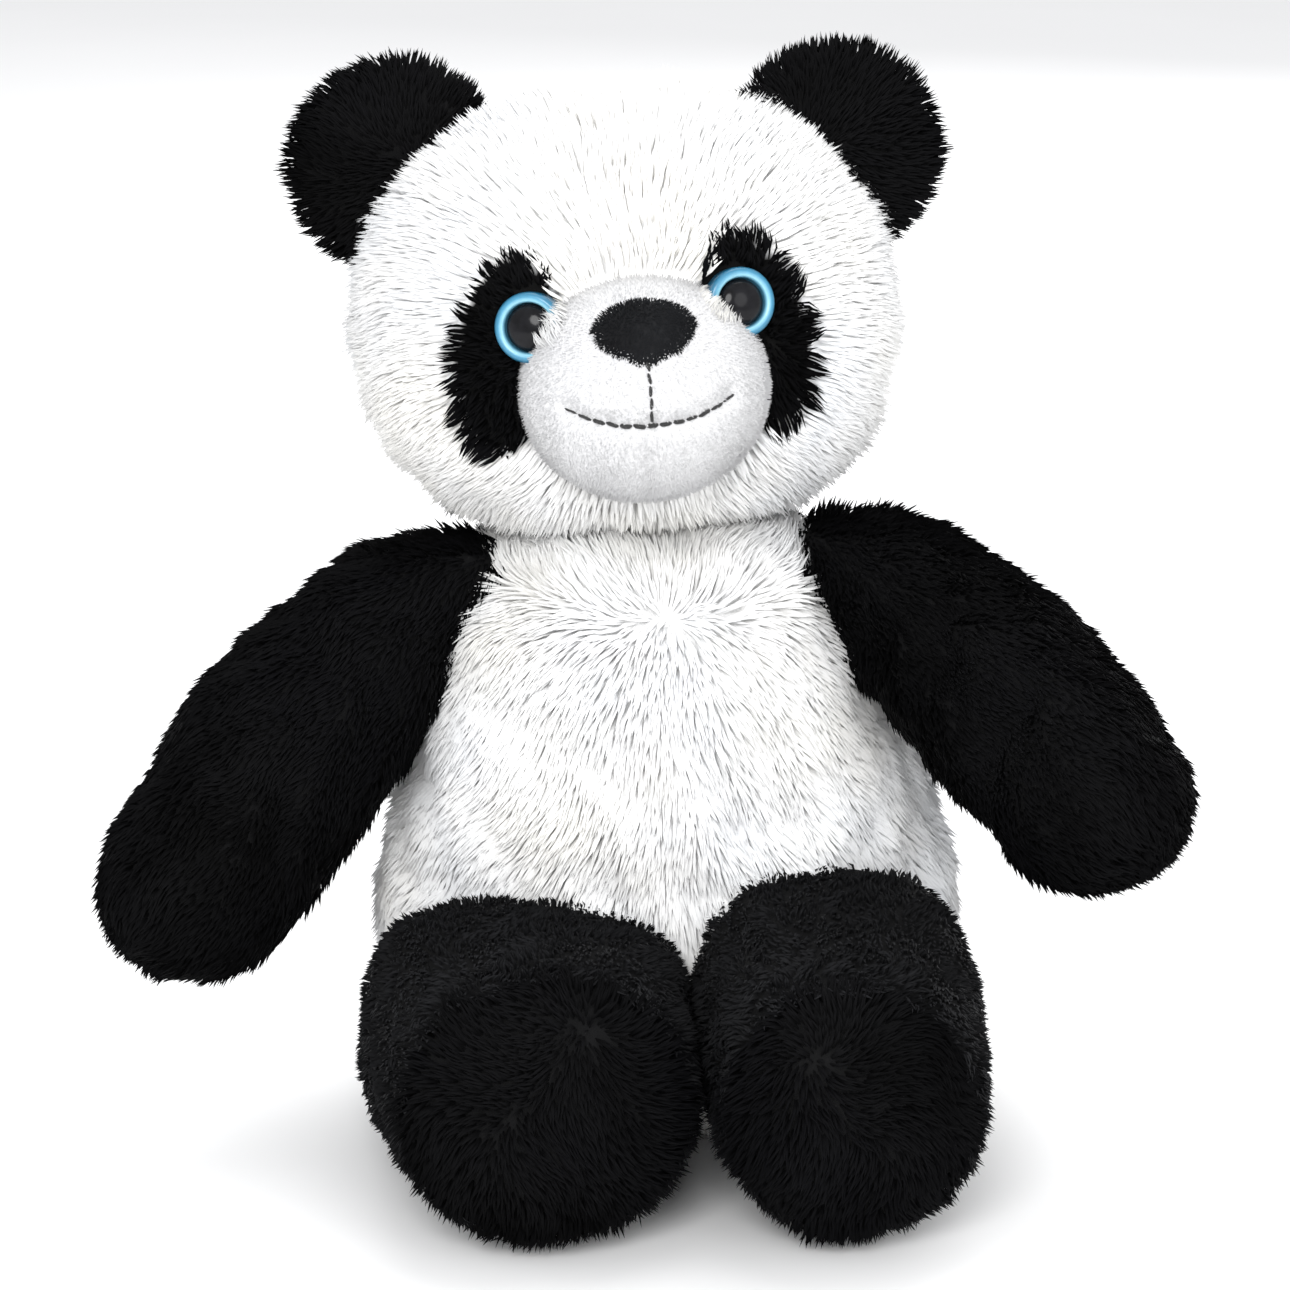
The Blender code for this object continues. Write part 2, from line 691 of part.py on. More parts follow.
def make_leg(side, place):
    behind = half_space("behind_sole_" + side, place, "Z", 1, SOLE_DEPTH - LEG_LENGTH)
    beyond = half_space("sole_" + side, place, "Z", -1, SOLE_DEPTH - LEG_LENGTH)
    for name, sign in (("outer", SIDES[side]), ("inner", -SIDES[side])):
        cover = piece(f"leg_{name}_cover_{side}", "black_plush", leg_skin(side), place)
        hollow(cover, PILE)
        keep_inside(cover, half_space(f"leg_{name}_{side}", place, "X", sign), behind)
    sole = piece("foot_sole_" + side, "black_plush", leg_skin(side), place)
    hollow(sole, PILE)
    keep_inside(sole, beyond)
    stuffing = piece("leg_stuffing_" + side, "stuffing", leg_skin(side), place)
    shrink(stuffing, PILE + 2 * GAP)
    seam_ring("hip_seam_" + side, "thread_black", LEG_BALL, place)


clear_scene()
toy = make_collection("plush_panda")
cutters = make_collection("cutters")

head = frame("head", None, NECK, HEAD_TURN)
arms = {side: frame("arm_" + side, None, SHOULDER[side], along(ARM_REACH[side], Vector((1, 0, 0))))
        for side in SIDES}
legs = {side: frame("leg_" + side, None, HIP[side], along(LEG_REACH[side], Vector((1, 0, 0))))
        for side in SIDES}
ears = {side: ear_frame(side) for side in SIDES}
eyes = {side: eye_frame(side) for side in SIDES}

sockets = {}
for side in SIDES:
    sockets["arm_" + side] = cutter("arm_socket_" + side, ball(SHOULDER[side], ARM_BALL + SOCKET_GAP))
    sockets["leg_" + side] = cutter("leg_socket_" + side, ball(HIP[side], LEG_BALL + SOCKET_GAP))
    sockets["arm_room_" + side] = limb_room("arm_room_" + side, SHOULDER[side], ARM_REACH[side],
                                            ARM_ROOM_SHIFT, ARM_ROOM)
    sockets["leg_room_" + side] = limb_room("leg_room_" + side, HIP[side], LEG_REACH[side],
                                            LEG_ROOM_SHIFT, LEG_ROOM)
make_body(sockets)
make_closing_stitches()
make_label()
thread("neck_seam", "thread_white", [NECK + point for point in ring_points(NECK_RING, NECK_RING_HEIGHT, 24)],
       None, closed=True)

neck_room = cutter("neck_room", ball(Vector((0, 0, 0)), NECK_BALL + SOCKET_GAP + GAP), head)
muzzle_room = cutter("muzzle_room", ellipsoid(HEAD_CENTRE + MUZZLE_CENTRE, grown(MUZZLE_HALF, 2 * GAP)), head)
ear_rooms = [cutter("ear_room_" + side, ear_root(3 * GAP), ears[side]) for side in SIDES]
ear_rooms += [ear_clearance(side) for side in SIDES]
openings = {"all": [neck_room, *ear_rooms], "face": [muzzle_room], "stuffing": [muzzle_room]}
eye_rooms = {}
for side in SIDES:
    pocket, hole, washer_room, stem_room = eye_cutters(side, eyes[side])
    eye_rooms[side] = [pocket, washer_room, stem_room]
    openings["face"] += [patch_prism("patch_opening_" + side, side, GAP), hole]
    openings["stuffing"] += [washer_room, stem_room]
    make_patch(side, [muzzle_room, pocket, hole, washer_room])
    make_eye(side, eyes[side])
make_head(openings)
make_muzzle(eye_rooms)
make_nose()
make_mouth()
for side in SIDES:
    make_ear(side, ears[side])
    make_arm(side, arms[side])
    make_leg(side, legs[side])
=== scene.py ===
"""The looks of a sitting plush panda: sewn and stuffed skins, pile made of real tufts, plastic eyes,
a cloth nose, thread stitches, and the stage that it sits on.

Metres, +Z up; the toy faces -Y and its own left side is +X. Each skin is the hull of its covers in the
frame, filled out at the neck, shoulders and thighs, and inset to leave room for its pile.
"""

import json
from math import cos, pi, radians, sin, sqrt

import bmesh
import bpy
import numpy as np
from mathutils import Euler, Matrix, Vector, kdtree
from mathutils.bvhtree import BVHTree


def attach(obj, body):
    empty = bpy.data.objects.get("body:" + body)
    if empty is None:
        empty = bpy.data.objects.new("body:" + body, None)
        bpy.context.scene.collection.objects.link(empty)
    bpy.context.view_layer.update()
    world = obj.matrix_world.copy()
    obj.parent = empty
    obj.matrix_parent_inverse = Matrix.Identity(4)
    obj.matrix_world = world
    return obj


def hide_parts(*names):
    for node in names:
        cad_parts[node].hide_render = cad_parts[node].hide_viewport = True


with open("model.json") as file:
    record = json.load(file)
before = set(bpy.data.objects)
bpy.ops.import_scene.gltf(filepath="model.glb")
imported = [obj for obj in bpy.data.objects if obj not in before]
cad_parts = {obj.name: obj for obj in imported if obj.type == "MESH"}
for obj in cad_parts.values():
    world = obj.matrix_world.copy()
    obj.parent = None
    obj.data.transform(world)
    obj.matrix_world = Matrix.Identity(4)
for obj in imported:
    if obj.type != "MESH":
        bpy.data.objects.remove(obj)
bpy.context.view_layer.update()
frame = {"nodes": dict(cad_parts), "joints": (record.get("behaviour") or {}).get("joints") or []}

SIDES = {"left": 1, "right": -1}
HEAD_TURN = Euler((radians(-14), radians(-4), radians(3)), "YXZ").to_matrix()

# Skins: the mesh size of each kind, how far each is inset, and the cloth simulation
VOXEL = 0.005
EAR_VOXEL = 0.003
FINE_VOXEL = 0.0022
INSET = {"torso": 0.0038, "head": 0.0045, "muzzle": 0.0004, "ear": 0.0018, "arm": 0.0040, "leg": 0.0034}
SIM_FRAMES = 16
PRESSURE = 4.0
STIFFNESS = 12
MOST_PUFF = 0.0035
SEAM_WIDTH = 0.003

# Ovals that fill the torso out below the head: height, how far back, half width and half depth
NECK_OVALS = ((0.118, 0.014, 0.0575, 0.056), (0.132, 0.015, 0.0525, 0.050), (0.146, 0.017, 0.0440, 0.042))
NECK_SIDEWAYS = -0.004

# Rings that fill each thigh out: place along the leg from the hip, and share of the covers' size
THIGH_RINGS = ((-0.016, 0.96), (0.0, 1.05), (0.016, 1.06))
THIGH_SQUARENESS = 0.7

# Bare places: the radius round each joint on the torso, and how far behind the hip a leg goes bare
SHOULDER_BARE = 0.016
HIP_BARE = 0.028
LEG_BARE = 0.012

# Pile lengths
LONG_PILE = 0.0090
HEAD_PILE = 0.0085
PATCH_PILE = 0.0078
BLACK_PILE = 0.0066
THIGH_PILE = 0.0042
EAR_PILE = 0.0060
VELVET_PILE = 0.0013
WISP = {"left": 0.0026, "right": 0.0046}
WISP_REACH = 0.0118

# Tufts: the shares by which length and width vary, how deep they are rooted, the size of the waves
# that ruffle them, how far they are lifted at least, the share of their own shape in their shading,
# their height above the floor, and the most in one piece. A tuft has one ring of points at its root
# and one at its knee, here as the place along it and the share of its width.
LENGTHS = (0.75, 1.12)
WIDTHS = (0.7, 1.25)
ROOT_DEPTH = 0.0006
RUFFLE_SIZE = 0.018
LEAST_LIFT = 0.22
OWN_SHADING = 0.15
FLOOR_GAP = 0.0004
MOST_TUFTS = 18400
TUFT_RINGS = ((0.0, 0.7), (0.55, 1.0))

# Black patches, measured from each eye: outwards and up
PATCH_SHIFT = {"left": Vector((0.0032, -0.0060)), "right": Vector((0.0046, -0.0060))}
PATCH_HALF = Vector((0.0130, 0.0235))
PATCH_LEAN = radians(12)

# How far the pile keeps from an eye's axis, and how far behind the eye that and the patch reach
EYE_CLEARANCE = 0.0092
FACE_DEPTH = 0.03

# Eyes: depths below the ring's top, the stem, and the dome that stands a little above the ring
DOME_SEAT = 0.0040
RING_DEPTH = 0.0045
STEM_DEPTH = 0.0065
STEM_RADIUS = 0.0020
PUPIL_SHARE = 0.70
DOME_RISE = 0.0009
DOME_HEIGHT = 0.0028
DOME_BASE = 0.0036
DOME_GAP = 0.0003

# Mouth and nose, measured on the muzzle from its centre
SMILE_HALF = 0.0208
SMILE_LOW = -0.0098
SMILE_HIGH = -0.0036
NOSE_HALF = Vector((0.0126, 0.0075))
NOSE_SINK = 0.0020
NOSE_DOME = 0.0022
NOSE_EDGE = 0.0004
NOSE_ROOT = 0.0022
SMILE_DEPTH = 0.0020
LIP_DEPTH = 0.0010
CHIN_DEPTH = 0.0022
STITCH = 0.00056
SMILE_STITCHES = 13
LIP_STITCHES = 5
THREAD = 0.00045
THREAD_SIDES = 8

# Size of the seam rings, as a share of the frame's
SHOULDER_RING = 0.62
HIP_RING = 0.75

LABEL_SIZE = (0.018, 0.026)
LABEL_THICKNESS = 0.0005
LABEL_CURL = 0.0015
LABEL_WAVE = 0.0008


# Reading the frame

def node_points(*names):
    return np.array([tuple(v.co) for name in names for v in frame["nodes"][name].data.vertices])


def node_centre(*names):
    points = node_points(*names)
    return Vector((points.min(0) + points.max(0)) / 2)


def joint_place(name):
    return next(Vector(joint["pos_m"]) for joint in frame["joints"] if joint["name"] == name)


def both(*patterns):
    return [pattern.format(side) for pattern in patterns for side in SIDES]


TORSO_NODES = ["seat_cover", *both("belly_cover_{}", "back_cover_{}")]
HEAD_NODES = ["face_cover", *both("head_back_cover_{}")]
head_centre = node_centre(*HEAD_NODES)
across, behind, up = (HEAD_TURN @ Vector(axis) for axis in ((1, 0, 0), (0, 1, 0), (0, 0, 1)))
head_axes = np.array((across, behind, up))
muzzle_centre = Vector(node_points("muzzle_stuffing").mean(0))


# Materials

def new_material(name, roughness, **sockets):
    made = bpy.data.materials.new(name)
    made.use_nodes = True
    shader = made.node_tree.nodes["Principled BSDF"]
    shader.inputs["Roughness"].default_value = roughness
    for socket, value in sockets.items():
        shader.inputs[socket.replace("_", " ")].default_value = value
    return made, made.node_tree, shader


def ramp(tree, factor, *stops):
    """A colour ramp: stops are (position, grey or colour)."""
    node = tree.nodes.new("ShaderNodeValToRGB")
    tree.links.new(factor, node.inputs[0])
    while len(node.color_ramp.elements) < len(stops):
        node.color_ramp.elements.new(0.5)
    for element, (place, colour) in zip(node.color_ramp.elements, stops):
        element.position = place
        element.color = (*colour, 1) if isinstance(colour, tuple) else (colour, colour, colour, 1)
    return node.outputs[0]


def mix(tree, how, amount, first, second):
    node = tree.nodes.new("ShaderNodeMix")
    node.data_type = "RGBA"
    node.blend_type = how
    node.inputs[0].default_value = amount
    tree.links.new(first, node.inputs[6])
    tree.links.new(second, node.inputs[7])
    return node.outputs[2]


def noise(tree, scale, detail=3.0):
    place = tree.nodes.new("ShaderNodeTexCoord")
    node = tree.nodes.new("ShaderNodeTexNoise")
    node.inputs["Scale"].default_value = scale
    node.inputs["Detail"].default_value = detail
    tree.links.new(place.outputs["Object"], node.inputs["Vector"])
    return node.outputs[0]


def bump(tree, shader, height, strength, distance):
    node = tree.nodes.new("ShaderNodeBump")
    node.inputs["Strength"].default_value = strength
    node.inputs["Distance"].default_value = distance
    tree.links.new(height, node.inputs["Height"])
    tree.links.new(node.outputs[0], shader.inputs["Normal"])


def attribute(tree, name):
    node = tree.nodes.new("ShaderNodeAttribute")
    node.attribute_name = name
    return node.outputs["Fac"]


def pile_material(name, root, tip, patch, roughness, gloss):
    """Tufts whose roots are darker than their tips, painted shade down among the tufts, each a little
    lighter or darker than the next, with two broad soft casts of colour over the whole cloth that
    are painted sheen on the black pile and, on the white, a cool painted shade tint beside a cream one."""
    made, tree, shader = new_material(name, roughness, Specular_IOR_Level=gloss)
    # Darker roots: painted shade down among the tufts.
    length = ramp(tree, attribute(tree, "along"), (0.0, root), (0.75, tip))
    island = tree.nodes.new("ShaderNodeNewGeometry").outputs["Random Per Island"]
    varied = mix(tree, "MULTIPLY", 1.0, length, ramp(tree, island, (0.0, 0.93), (1.0, 1.0)))
    # Broad casts: painted sheen on the black pile; on the white, a cool painted shade tint beside the
    # cloth's own cream.
    tint_and_painted_light = ramp(tree, noise(tree, 22), (0.34, patch[0]), (0.5, (1.0, 1.0, 1.0)), (0.66, patch[1]))
    broad = mix(tree, "MULTIPLY", 1.0, varied, tint_and_painted_light)
    tree.links.new(broad, shader.inputs["Base Color"])
    return made


def cloth_material(name, colour, shade, roughness, grain, sheen=0.2):
    """Knitted backing or velvet: a fine grain over broad soft patches."""
    made, tree, shader = new_material(name, roughness, Sheen_Weight=sheen, Sheen_Roughness=0.4,
                                      Specular_IOR_Level=0.2)
    broad = ramp(tree, noise(tree, 40), (0.35, shade), (0.65, colour))
    fine = ramp(tree, noise(tree, grain, 2.0), (0.3, 0.85), (0.7, 1.0))
    tree.links.new(mix(tree, "MULTIPLY", 1.0, broad, fine), shader.inputs["Base Color"])
    bump(tree, shader, noise(tree, grain, 2.0), 0.35, 0.0004)
    return made


def head_skin_material():
    """White backing cloth with the two dark patches behind the eyes."""
    made, tree, shader = new_material("head_backing", 0.9, Specular_IOR_Level=0.2)
    white = ramp(tree, noise(tree, 40), (0.35, (0.91, 0.91, 0.92)), (0.65, (0.95, 0.95, 0.94)))
    dark = ramp(tree, noise(tree, 40), (0.35, 0.002), (0.65, 0.004))
    node = tree.nodes.new("ShaderNodeMix")
    node.data_type = "RGBA"
    tree.links.new(attribute(tree, "patch"), node.inputs[0])
    tree.links.new(white, node.inputs[6])
    tree.links.new(dark, node.inputs[7])
    tree.links.new(node.outputs[2], shader.inputs["Base Color"])
    bump(tree, shader, noise(tree, 900, 2.0), 0.35, 0.0004)
    return made


def plastic_material(name, colour, shade, roughness, coat, gloss):
    """Moulded plastic, with flow marks and a fine ripple in the gloss."""
    made, tree, shader = new_material(name, roughness, Coat_Weight=coat, Coat_Roughness=0.05,
                                      Specular_IOR_Level=gloss)
    tree.links.new(ramp(tree, noise(tree, 260), (0.35, shade), (0.65, colour)), shader.inputs["Base Color"])
    bump(tree, shader, noise(tree, 420, 1.0), 0.05, 0.0002)
    return made


def iris_material():
    """Pearl blue, darker round the outer edge and lightest beside the pupil."""
    made, tree, shader = new_material("pearl_iris", 0.35, Coat_Weight=0.3, Coat_Roughness=0.1)
    shades = ramp(tree, attribute(tree, "inward"), (0.0, (0.01, 0.12, 0.22)), (0.45, (0.05, 0.26, 0.42)),
                  (0.8, (0.30, 0.62, 0.76)), (1.0, (0.06, 0.22, 0.34)))
    pearl = ramp(tree, noise(tree, 700), (0.3, 0.88), (0.7, 1.0))
    tree.links.new(mix(tree, "MULTIPLY", 1.0, shades, pearl), shader.inputs["Base Color"])
    bump(tree, shader, noise(tree, 500, 1.0), 0.06, 0.0002)
    return made


def thread_material(name, colour, shade):
    """Twisted thread: slanted plies run round it."""
    made, tree, shader = new_material(name, 0.6, Sheen_Weight=0.2)
    place = tree.nodes.new("ShaderNodeTexCoord")
    plies = tree.nodes.new("ShaderNodeTexWave")
    plies.bands_direction = "DIAGONAL"
    plies.inputs["Scale"].default_value = 900
    tree.links.new(place.outputs["Object"], plies.inputs["Vector"])
    tree.links.new(ramp(tree, plies.outputs[0], (0.2, shade), (0.8, colour)), shader.inputs["Base Color"])
    bump(tree, shader, plies.outputs[0], 0.5, 0.0002)
    return made


LOOKS = {
    # White pile: the darker roots and the cool cast are painted shade. Black pile: the darker roots are
    # painted shade and the lighter casts are painted sheen.
    "white_pile": pile_material("white_pile", (0.915, 0.91, 0.90), (0.95, 0.95, 0.945),
                                ((0.945, 0.96, 0.985), (0.99, 0.98, 0.95)), 0.8, 0.12),
    "black_pile": pile_material("black_pile", (0.0010, 0.0010, 0.0012), (0.0042, 0.0042, 0.0047),
                                ((0.4, 0.4, 0.4), (0.9, 0.9, 0.95)), 0.65, 0.035),
    "thigh_pile": pile_material("thigh_pile", (0.0025, 0.0025, 0.003), (0.0150, 0.0153, 0.0170),
                                ((0.7, 0.7, 0.7), (1.0, 1.0, 1.0)), 0.65, 0.09),
    "nose_pile": pile_material("nose_pile", (0.006, 0.006, 0.007), (0.015, 0.016, 0.018),
                               ((0.8, 0.8, 0.8), (1.0, 1.0, 1.0)), 0.7, 0.06),
    # Muzzle pile: greyer than the head's white pile, painted shade for the dimmer light on the muzzle; its
    # darker roots and cool cast are painted shade too.
    "muzzle_pile": pile_material("muzzle_pile", (0.71, 0.71, 0.72), (0.76, 0.76, 0.765),
                                 ((0.97, 0.97, 0.99), (0.99, 0.985, 0.98)), 0.8, 0.12),
    "white_backing": cloth_material("white_backing", (0.95, 0.95, 0.94), (0.92, 0.92, 0.92), 0.9, 900),
    "black_backing": cloth_material("black_backing", (0.004, 0.004, 0.0044), (0.002, 0.002, 0.0024),
                                    0.9, 900, 0.0),
    # Velvet: the muzzle's white cloth set greyer than the head's white, painted shade for the dimmer light
    # on it.
    "velvet": cloth_material("velvet", (0.73, 0.73, 0.735), (0.69, 0.69, 0.70), 0.9, 1400),
    "nose_velvet": cloth_material("nose_velvet", (0.015, 0.016, 0.018), (0.008, 0.008, 0.009),
                                  0.85, 1400, 0.05),
    "fibre": cloth_material("fibre", (0.90, 0.90, 0.88), (0.82, 0.82, 0.80), 1.0, 300),
    "label_cloth": cloth_material("label_cloth", (0.86, 0.85, 0.82), (0.80, 0.79, 0.76), 0.8, 1600),
    "head_backing": head_skin_material(),
    "iris": iris_material(),
    "pupil": plastic_material("pupil", (0.010, 0.010, 0.012), (0.004, 0.004, 0.005), 0.14, 0.0, 0.18),
    "washer": plastic_material("washer", (0.85, 0.85, 0.82), (0.78, 0.78, 0.75), 0.45, 0.0, 0.5),
    "black_thread": thread_material("black_thread", (0.016, 0.016, 0.016), (0.004, 0.004, 0.004)),
    "white_thread": thread_material("white_thread", (0.84, 0.83, 0.80), (0.66, 0.65, 0.62)),
}


# Meshes

def turns(count):
    """Angles spaced evenly round a circle."""
    return [2 * pi * step / count for step in range(count)]


def add(name, mesh, look):
    obj = bpy.data.objects.new(name, mesh)
    bpy.context.scene.collection.objects.link(obj)
    obj.data.materials.clear()
    obj.data.materials.append(LOOKS[look])
    mesh.shade_smooth()
    return obj


def add_bmesh(name, bm, look):
    """Adds a closed bmesh as an object, with its faces turned outwards."""
    bmesh.ops.recalc_face_normals(bm, faces=bm.faces)
    mesh = bpy.data.meshes.new(name)
    bm.to_mesh(mesh)
    bm.free()
    return add(name, mesh, look)


def bridge(bm, first, second):
    """Joins two rings of equally many points with a band of faces."""
    for step in range(len(first)):
        after = (step + 1) % len(first)
        bm.faces.new((first[step], first[after], second[after], second[step]))


def apply_modifiers(obj):
    bpy.context.view_layer.update()
    graph = bpy.context.evaluated_depsgraph_get()
    mesh = bpy.data.meshes.new_from_object(obj.evaluated_get(graph))
    obj.modifiers.clear()
    obj.data = mesh
    mesh.shade_smooth()


def coordinates(obj):
    flat = np.empty(len(obj.data.vertices) * 3)
    obj.data.vertices.foreach_get("co", flat)
    return flat.reshape(-1, 3)


def set_coordinates(obj, points):
    obj.data.vertices.foreach_set("co", points.ravel())
    obj.data.update()


def hull_skin(name, look, points, inset, voxel=VOXEL):
    """The backing cloth of a stuffed part: a smooth closed skin, inset from the hull of the points."""
    bm = bmesh.new()
    for point in points:
        bm.verts.new(point)
    made = bmesh.ops.convex_hull(bm, input=bm.verts)
    spare = {v for v in made["geom_interior"] + made["geom_unused"] if isinstance(v, bmesh.types.BMVert)}
    bmesh.ops.delete(bm, geom=list(spare), context="VERTS")
    obj = add_bmesh(name, bm, look)
    remesh = obj.modifiers.new("even", "REMESH")
    remesh.mode = "VOXEL"
    remesh.voxel_size = voxel
    smooth = obj.modifiers.new("smooth", "SMOOTH")
    smooth.iterations = 10
    smooth.factor = 0.5
    sink = obj.modifiers.new("inset", "DISPLACE")
    sink.mid_level = 0
    sink.strength = -inset
    apply_modifiers(obj)
    return obj


def puff(skins):
    """Stuffs the skins: each swells under pressure like sewn cloth, held back along its seams."""
    rest = {}
    for obj, seam_distance in skins:
        rest[obj] = coordinates(obj)
        held = obj.vertex_groups.new(name="seam")
        distance = seam_distance(rest[obj])
        for index in np.nonzero(distance < SEAM_WIDTH)[0]:
            held.add([int(index)], 1.0, "REPLACE")
        cloth = obj.modifiers.new("cloth", "CLOTH").settings
        cloth.vertex_group_mass = held.name
        cloth.use_pressure = True
        cloth.uniform_pressure_force = PRESSURE
        cloth.effector_weights.gravity = 0
        cloth.tension_stiffness = STIFFNESS
        cloth.compression_stiffness = STIFFNESS
        cloth.bending_stiffness = 0.4
        cloth.shrink_min = -0.04
    scene = bpy.context.scene
    for step in range(1, SIM_FRAMES + 1):
        scene.frame_set(step)
    graph = bpy.context.evaluated_depsgraph_get()
    swollen = {}
    for obj in rest:
        mesh = obj.evaluated_get(graph).to_mesh()
        flat = np.empty(len(mesh.vertices) * 3)
        mesh.vertices.foreach_get("co", flat)
        swollen[obj] = flat.reshape(-1, 3)
    for obj in rest:
        obj.modifiers.clear()
        moved = swollen[obj] - rest[obj]
        far = np.linalg.norm(moved, axis=1, keepdims=True)
        moved *= np.minimum(1, MOST_PUFF / np.maximum(far, 1e-9))
        set_coordinates(obj, rest[obj] + moved)
    scene.frame_set(1)


def subdivide(obj):
    step = obj.modifiers.new("finer", "SUBSURF")
    step.levels = 1
    step.render_levels = 1
    apply_modifiers(obj)


def finish_skin(skin, body, nodes):
    """Hides the nodes that a stuffed skin stands in for, and hangs the skin on its body."""
    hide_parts(*nodes)
    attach(skin, body)


def plane_distance(point, normal):
    """How far points are from a seam's plane."""
    normal = np.array(normal) / np.linalg.norm(normal)
    return lambda points: np.abs((points - np.array(point)) @ normal)


def any_of(*distances):
    return lambda points: np.min([distance(points) for distance in distances], axis=0)


# Pile

def unit(vectors):
    return vectors / np.maximum(np.linalg.norm(vectors, axis=1, keepdims=True), 1e-9)


def scatter(obj, spacing, draw):
    """Points spread evenly at random over a mesh, with its smooth normals."""
    mesh = obj.data
    mesh.calc_loop_triangles()
    count = len(mesh.loop_triangles)
    corners = np.empty(count * 3, np.int32)
    mesh.loop_triangles.foreach_get("vertices", corners)
    corners = corners.reshape(-1, 3)
    points = coordinates(obj)
    normals = np.empty(len(points) * 3)
    mesh.vertices.foreach_get("normal", normals)
    normals = normals.reshape(-1, 3)
    triangles = points[corners]
    cross = np.cross(triangles[:, 1] - triangles[:, 0], triangles[:, 2] - triangles[:, 0])
    reach = np.cumsum(np.linalg.norm(cross, axis=1) / 2)
    total = int(reach[-1] / spacing ** 2)
    picks = np.searchsorted(reach, (np.arange(total) + draw.random_sample(total)) / total * reach[-1])
    picks = np.minimum(picks, count - 1)
    first, second = draw.random_sample((2, total))
    flip = first + second > 1
    first[flip], second[flip] = 1 - first[flip], 1 - second[flip]
    weights = np.stack([1 - first - second, first, second], 1)[:, :, None]
    roots = (triangles[picks] * weights).sum(1)
    return roots, unit((normals[corners[picks]] * weights).sum(1))


def ripple(points, size, seed):
    """A smooth random vector field whose waves are about size across."""
    draw = np.random.RandomState(seed)
    total = np.zeros_like(points)
    for _ in range(5):
        wave = draw.normal(size=3) * 2 * pi / size / 1.7
        total += np.sin(points @ wave + draw.uniform(0, 2 * pi))[:, None] * draw.normal(size=3)
    return total / 5 ** 0.5


def clump_tips(roots, tips, size, pull, draw):
    """Draws the tips of neighbouring tufts together, the way pile gathers into locks."""
    count = max(1, int(len(roots) * size))
    chosen = draw.choice(len(roots), count, replace=False)
    tree = kdtree.KDTree(count)
    for index, pick in enumerate(chosen):
        tree.insert(roots[pick], index)
    tree.balance()
    nearest = chosen[[tree.find(root)[1] for root in roots]]
    share = pull * draw.uniform(0.6, 1.0, (len(roots), 1))
    return tips + (tips[nearest] - tips) * share


def tuft_mesh(name, roots, knees, tips, width, facing):
    """One closed three-sided tapering tuft from each root over its knee to its tip. It is shaded mostly
    the way the skin below faces, as dense soft pile is."""
    count = len(roots)
    line = unit(tips - roots)
    side = unit(np.cross(line, roots[:, [1, 2, 0]] + 0.37))
    other = np.cross(line, side)
    rings = []
    shading = []
    for level, girth in TUFT_RINGS:
        centre = (1 - level) ** 2 * roots + 2 * level * (1 - level) * knees + level ** 2 * tips
        for angle in turns(3):
            outward = side * cos(angle) + other * sin(angle)
            rings.append(centre + outward * width[:, None] * girth / 2)
            shading.append(unit(facing + outward * OWN_SHADING))
    points = np.stack(rings + [tips], 1)
    shading = np.stack(shading + [facing], 1)
    size = points.shape[1]
    points[:, :, 2] = np.maximum(points[:, :, 2], FLOOR_GAP)
    # The faces of one tuft: its base, its lower band and its point
    pattern = [2, 1, 0]
    starts = [0]
    for corner in range(3):
        after = (corner + 1) % 3
        starts.append(len(pattern))
        pattern += [corner, after, 3 + after, 3 + corner]
    for corner in range(3):
        starts.append(len(pattern))
        pattern += [3 + corner, 3 + (corner + 1) % 3, size - 1]
    order = np.arange(count)[:, None]
    mesh = bpy.data.meshes.new(name)
    mesh.vertices.add(count * size)
    mesh.vertices.foreach_set("co", points.ravel().astype(np.float32))
    mesh.loops.add(count * len(pattern))
    mesh.loops.foreach_set("vertex_index", (order * size + np.array(pattern)).ravel().astype(np.int32))
    mesh.polygons.add(count * len(starts))
    first_loops = order * len(pattern) + np.array(starts)
    mesh.polygons.foreach_set("loop_start", first_loops.ravel().astype(np.int32))
    mesh.update(calc_edges=True)
    mesh.normals_split_custom_set_from_vertices(shading.reshape(-1, 3).tolist())
    along = mesh.attributes.new("along", "FLOAT", "POINT")
    places = [level for level, girth in TUFT_RINGS for corner in range(3)] + [1.0]
    along.data.foreach_set("value", np.tile(places, count).astype(np.float32))
    return mesh


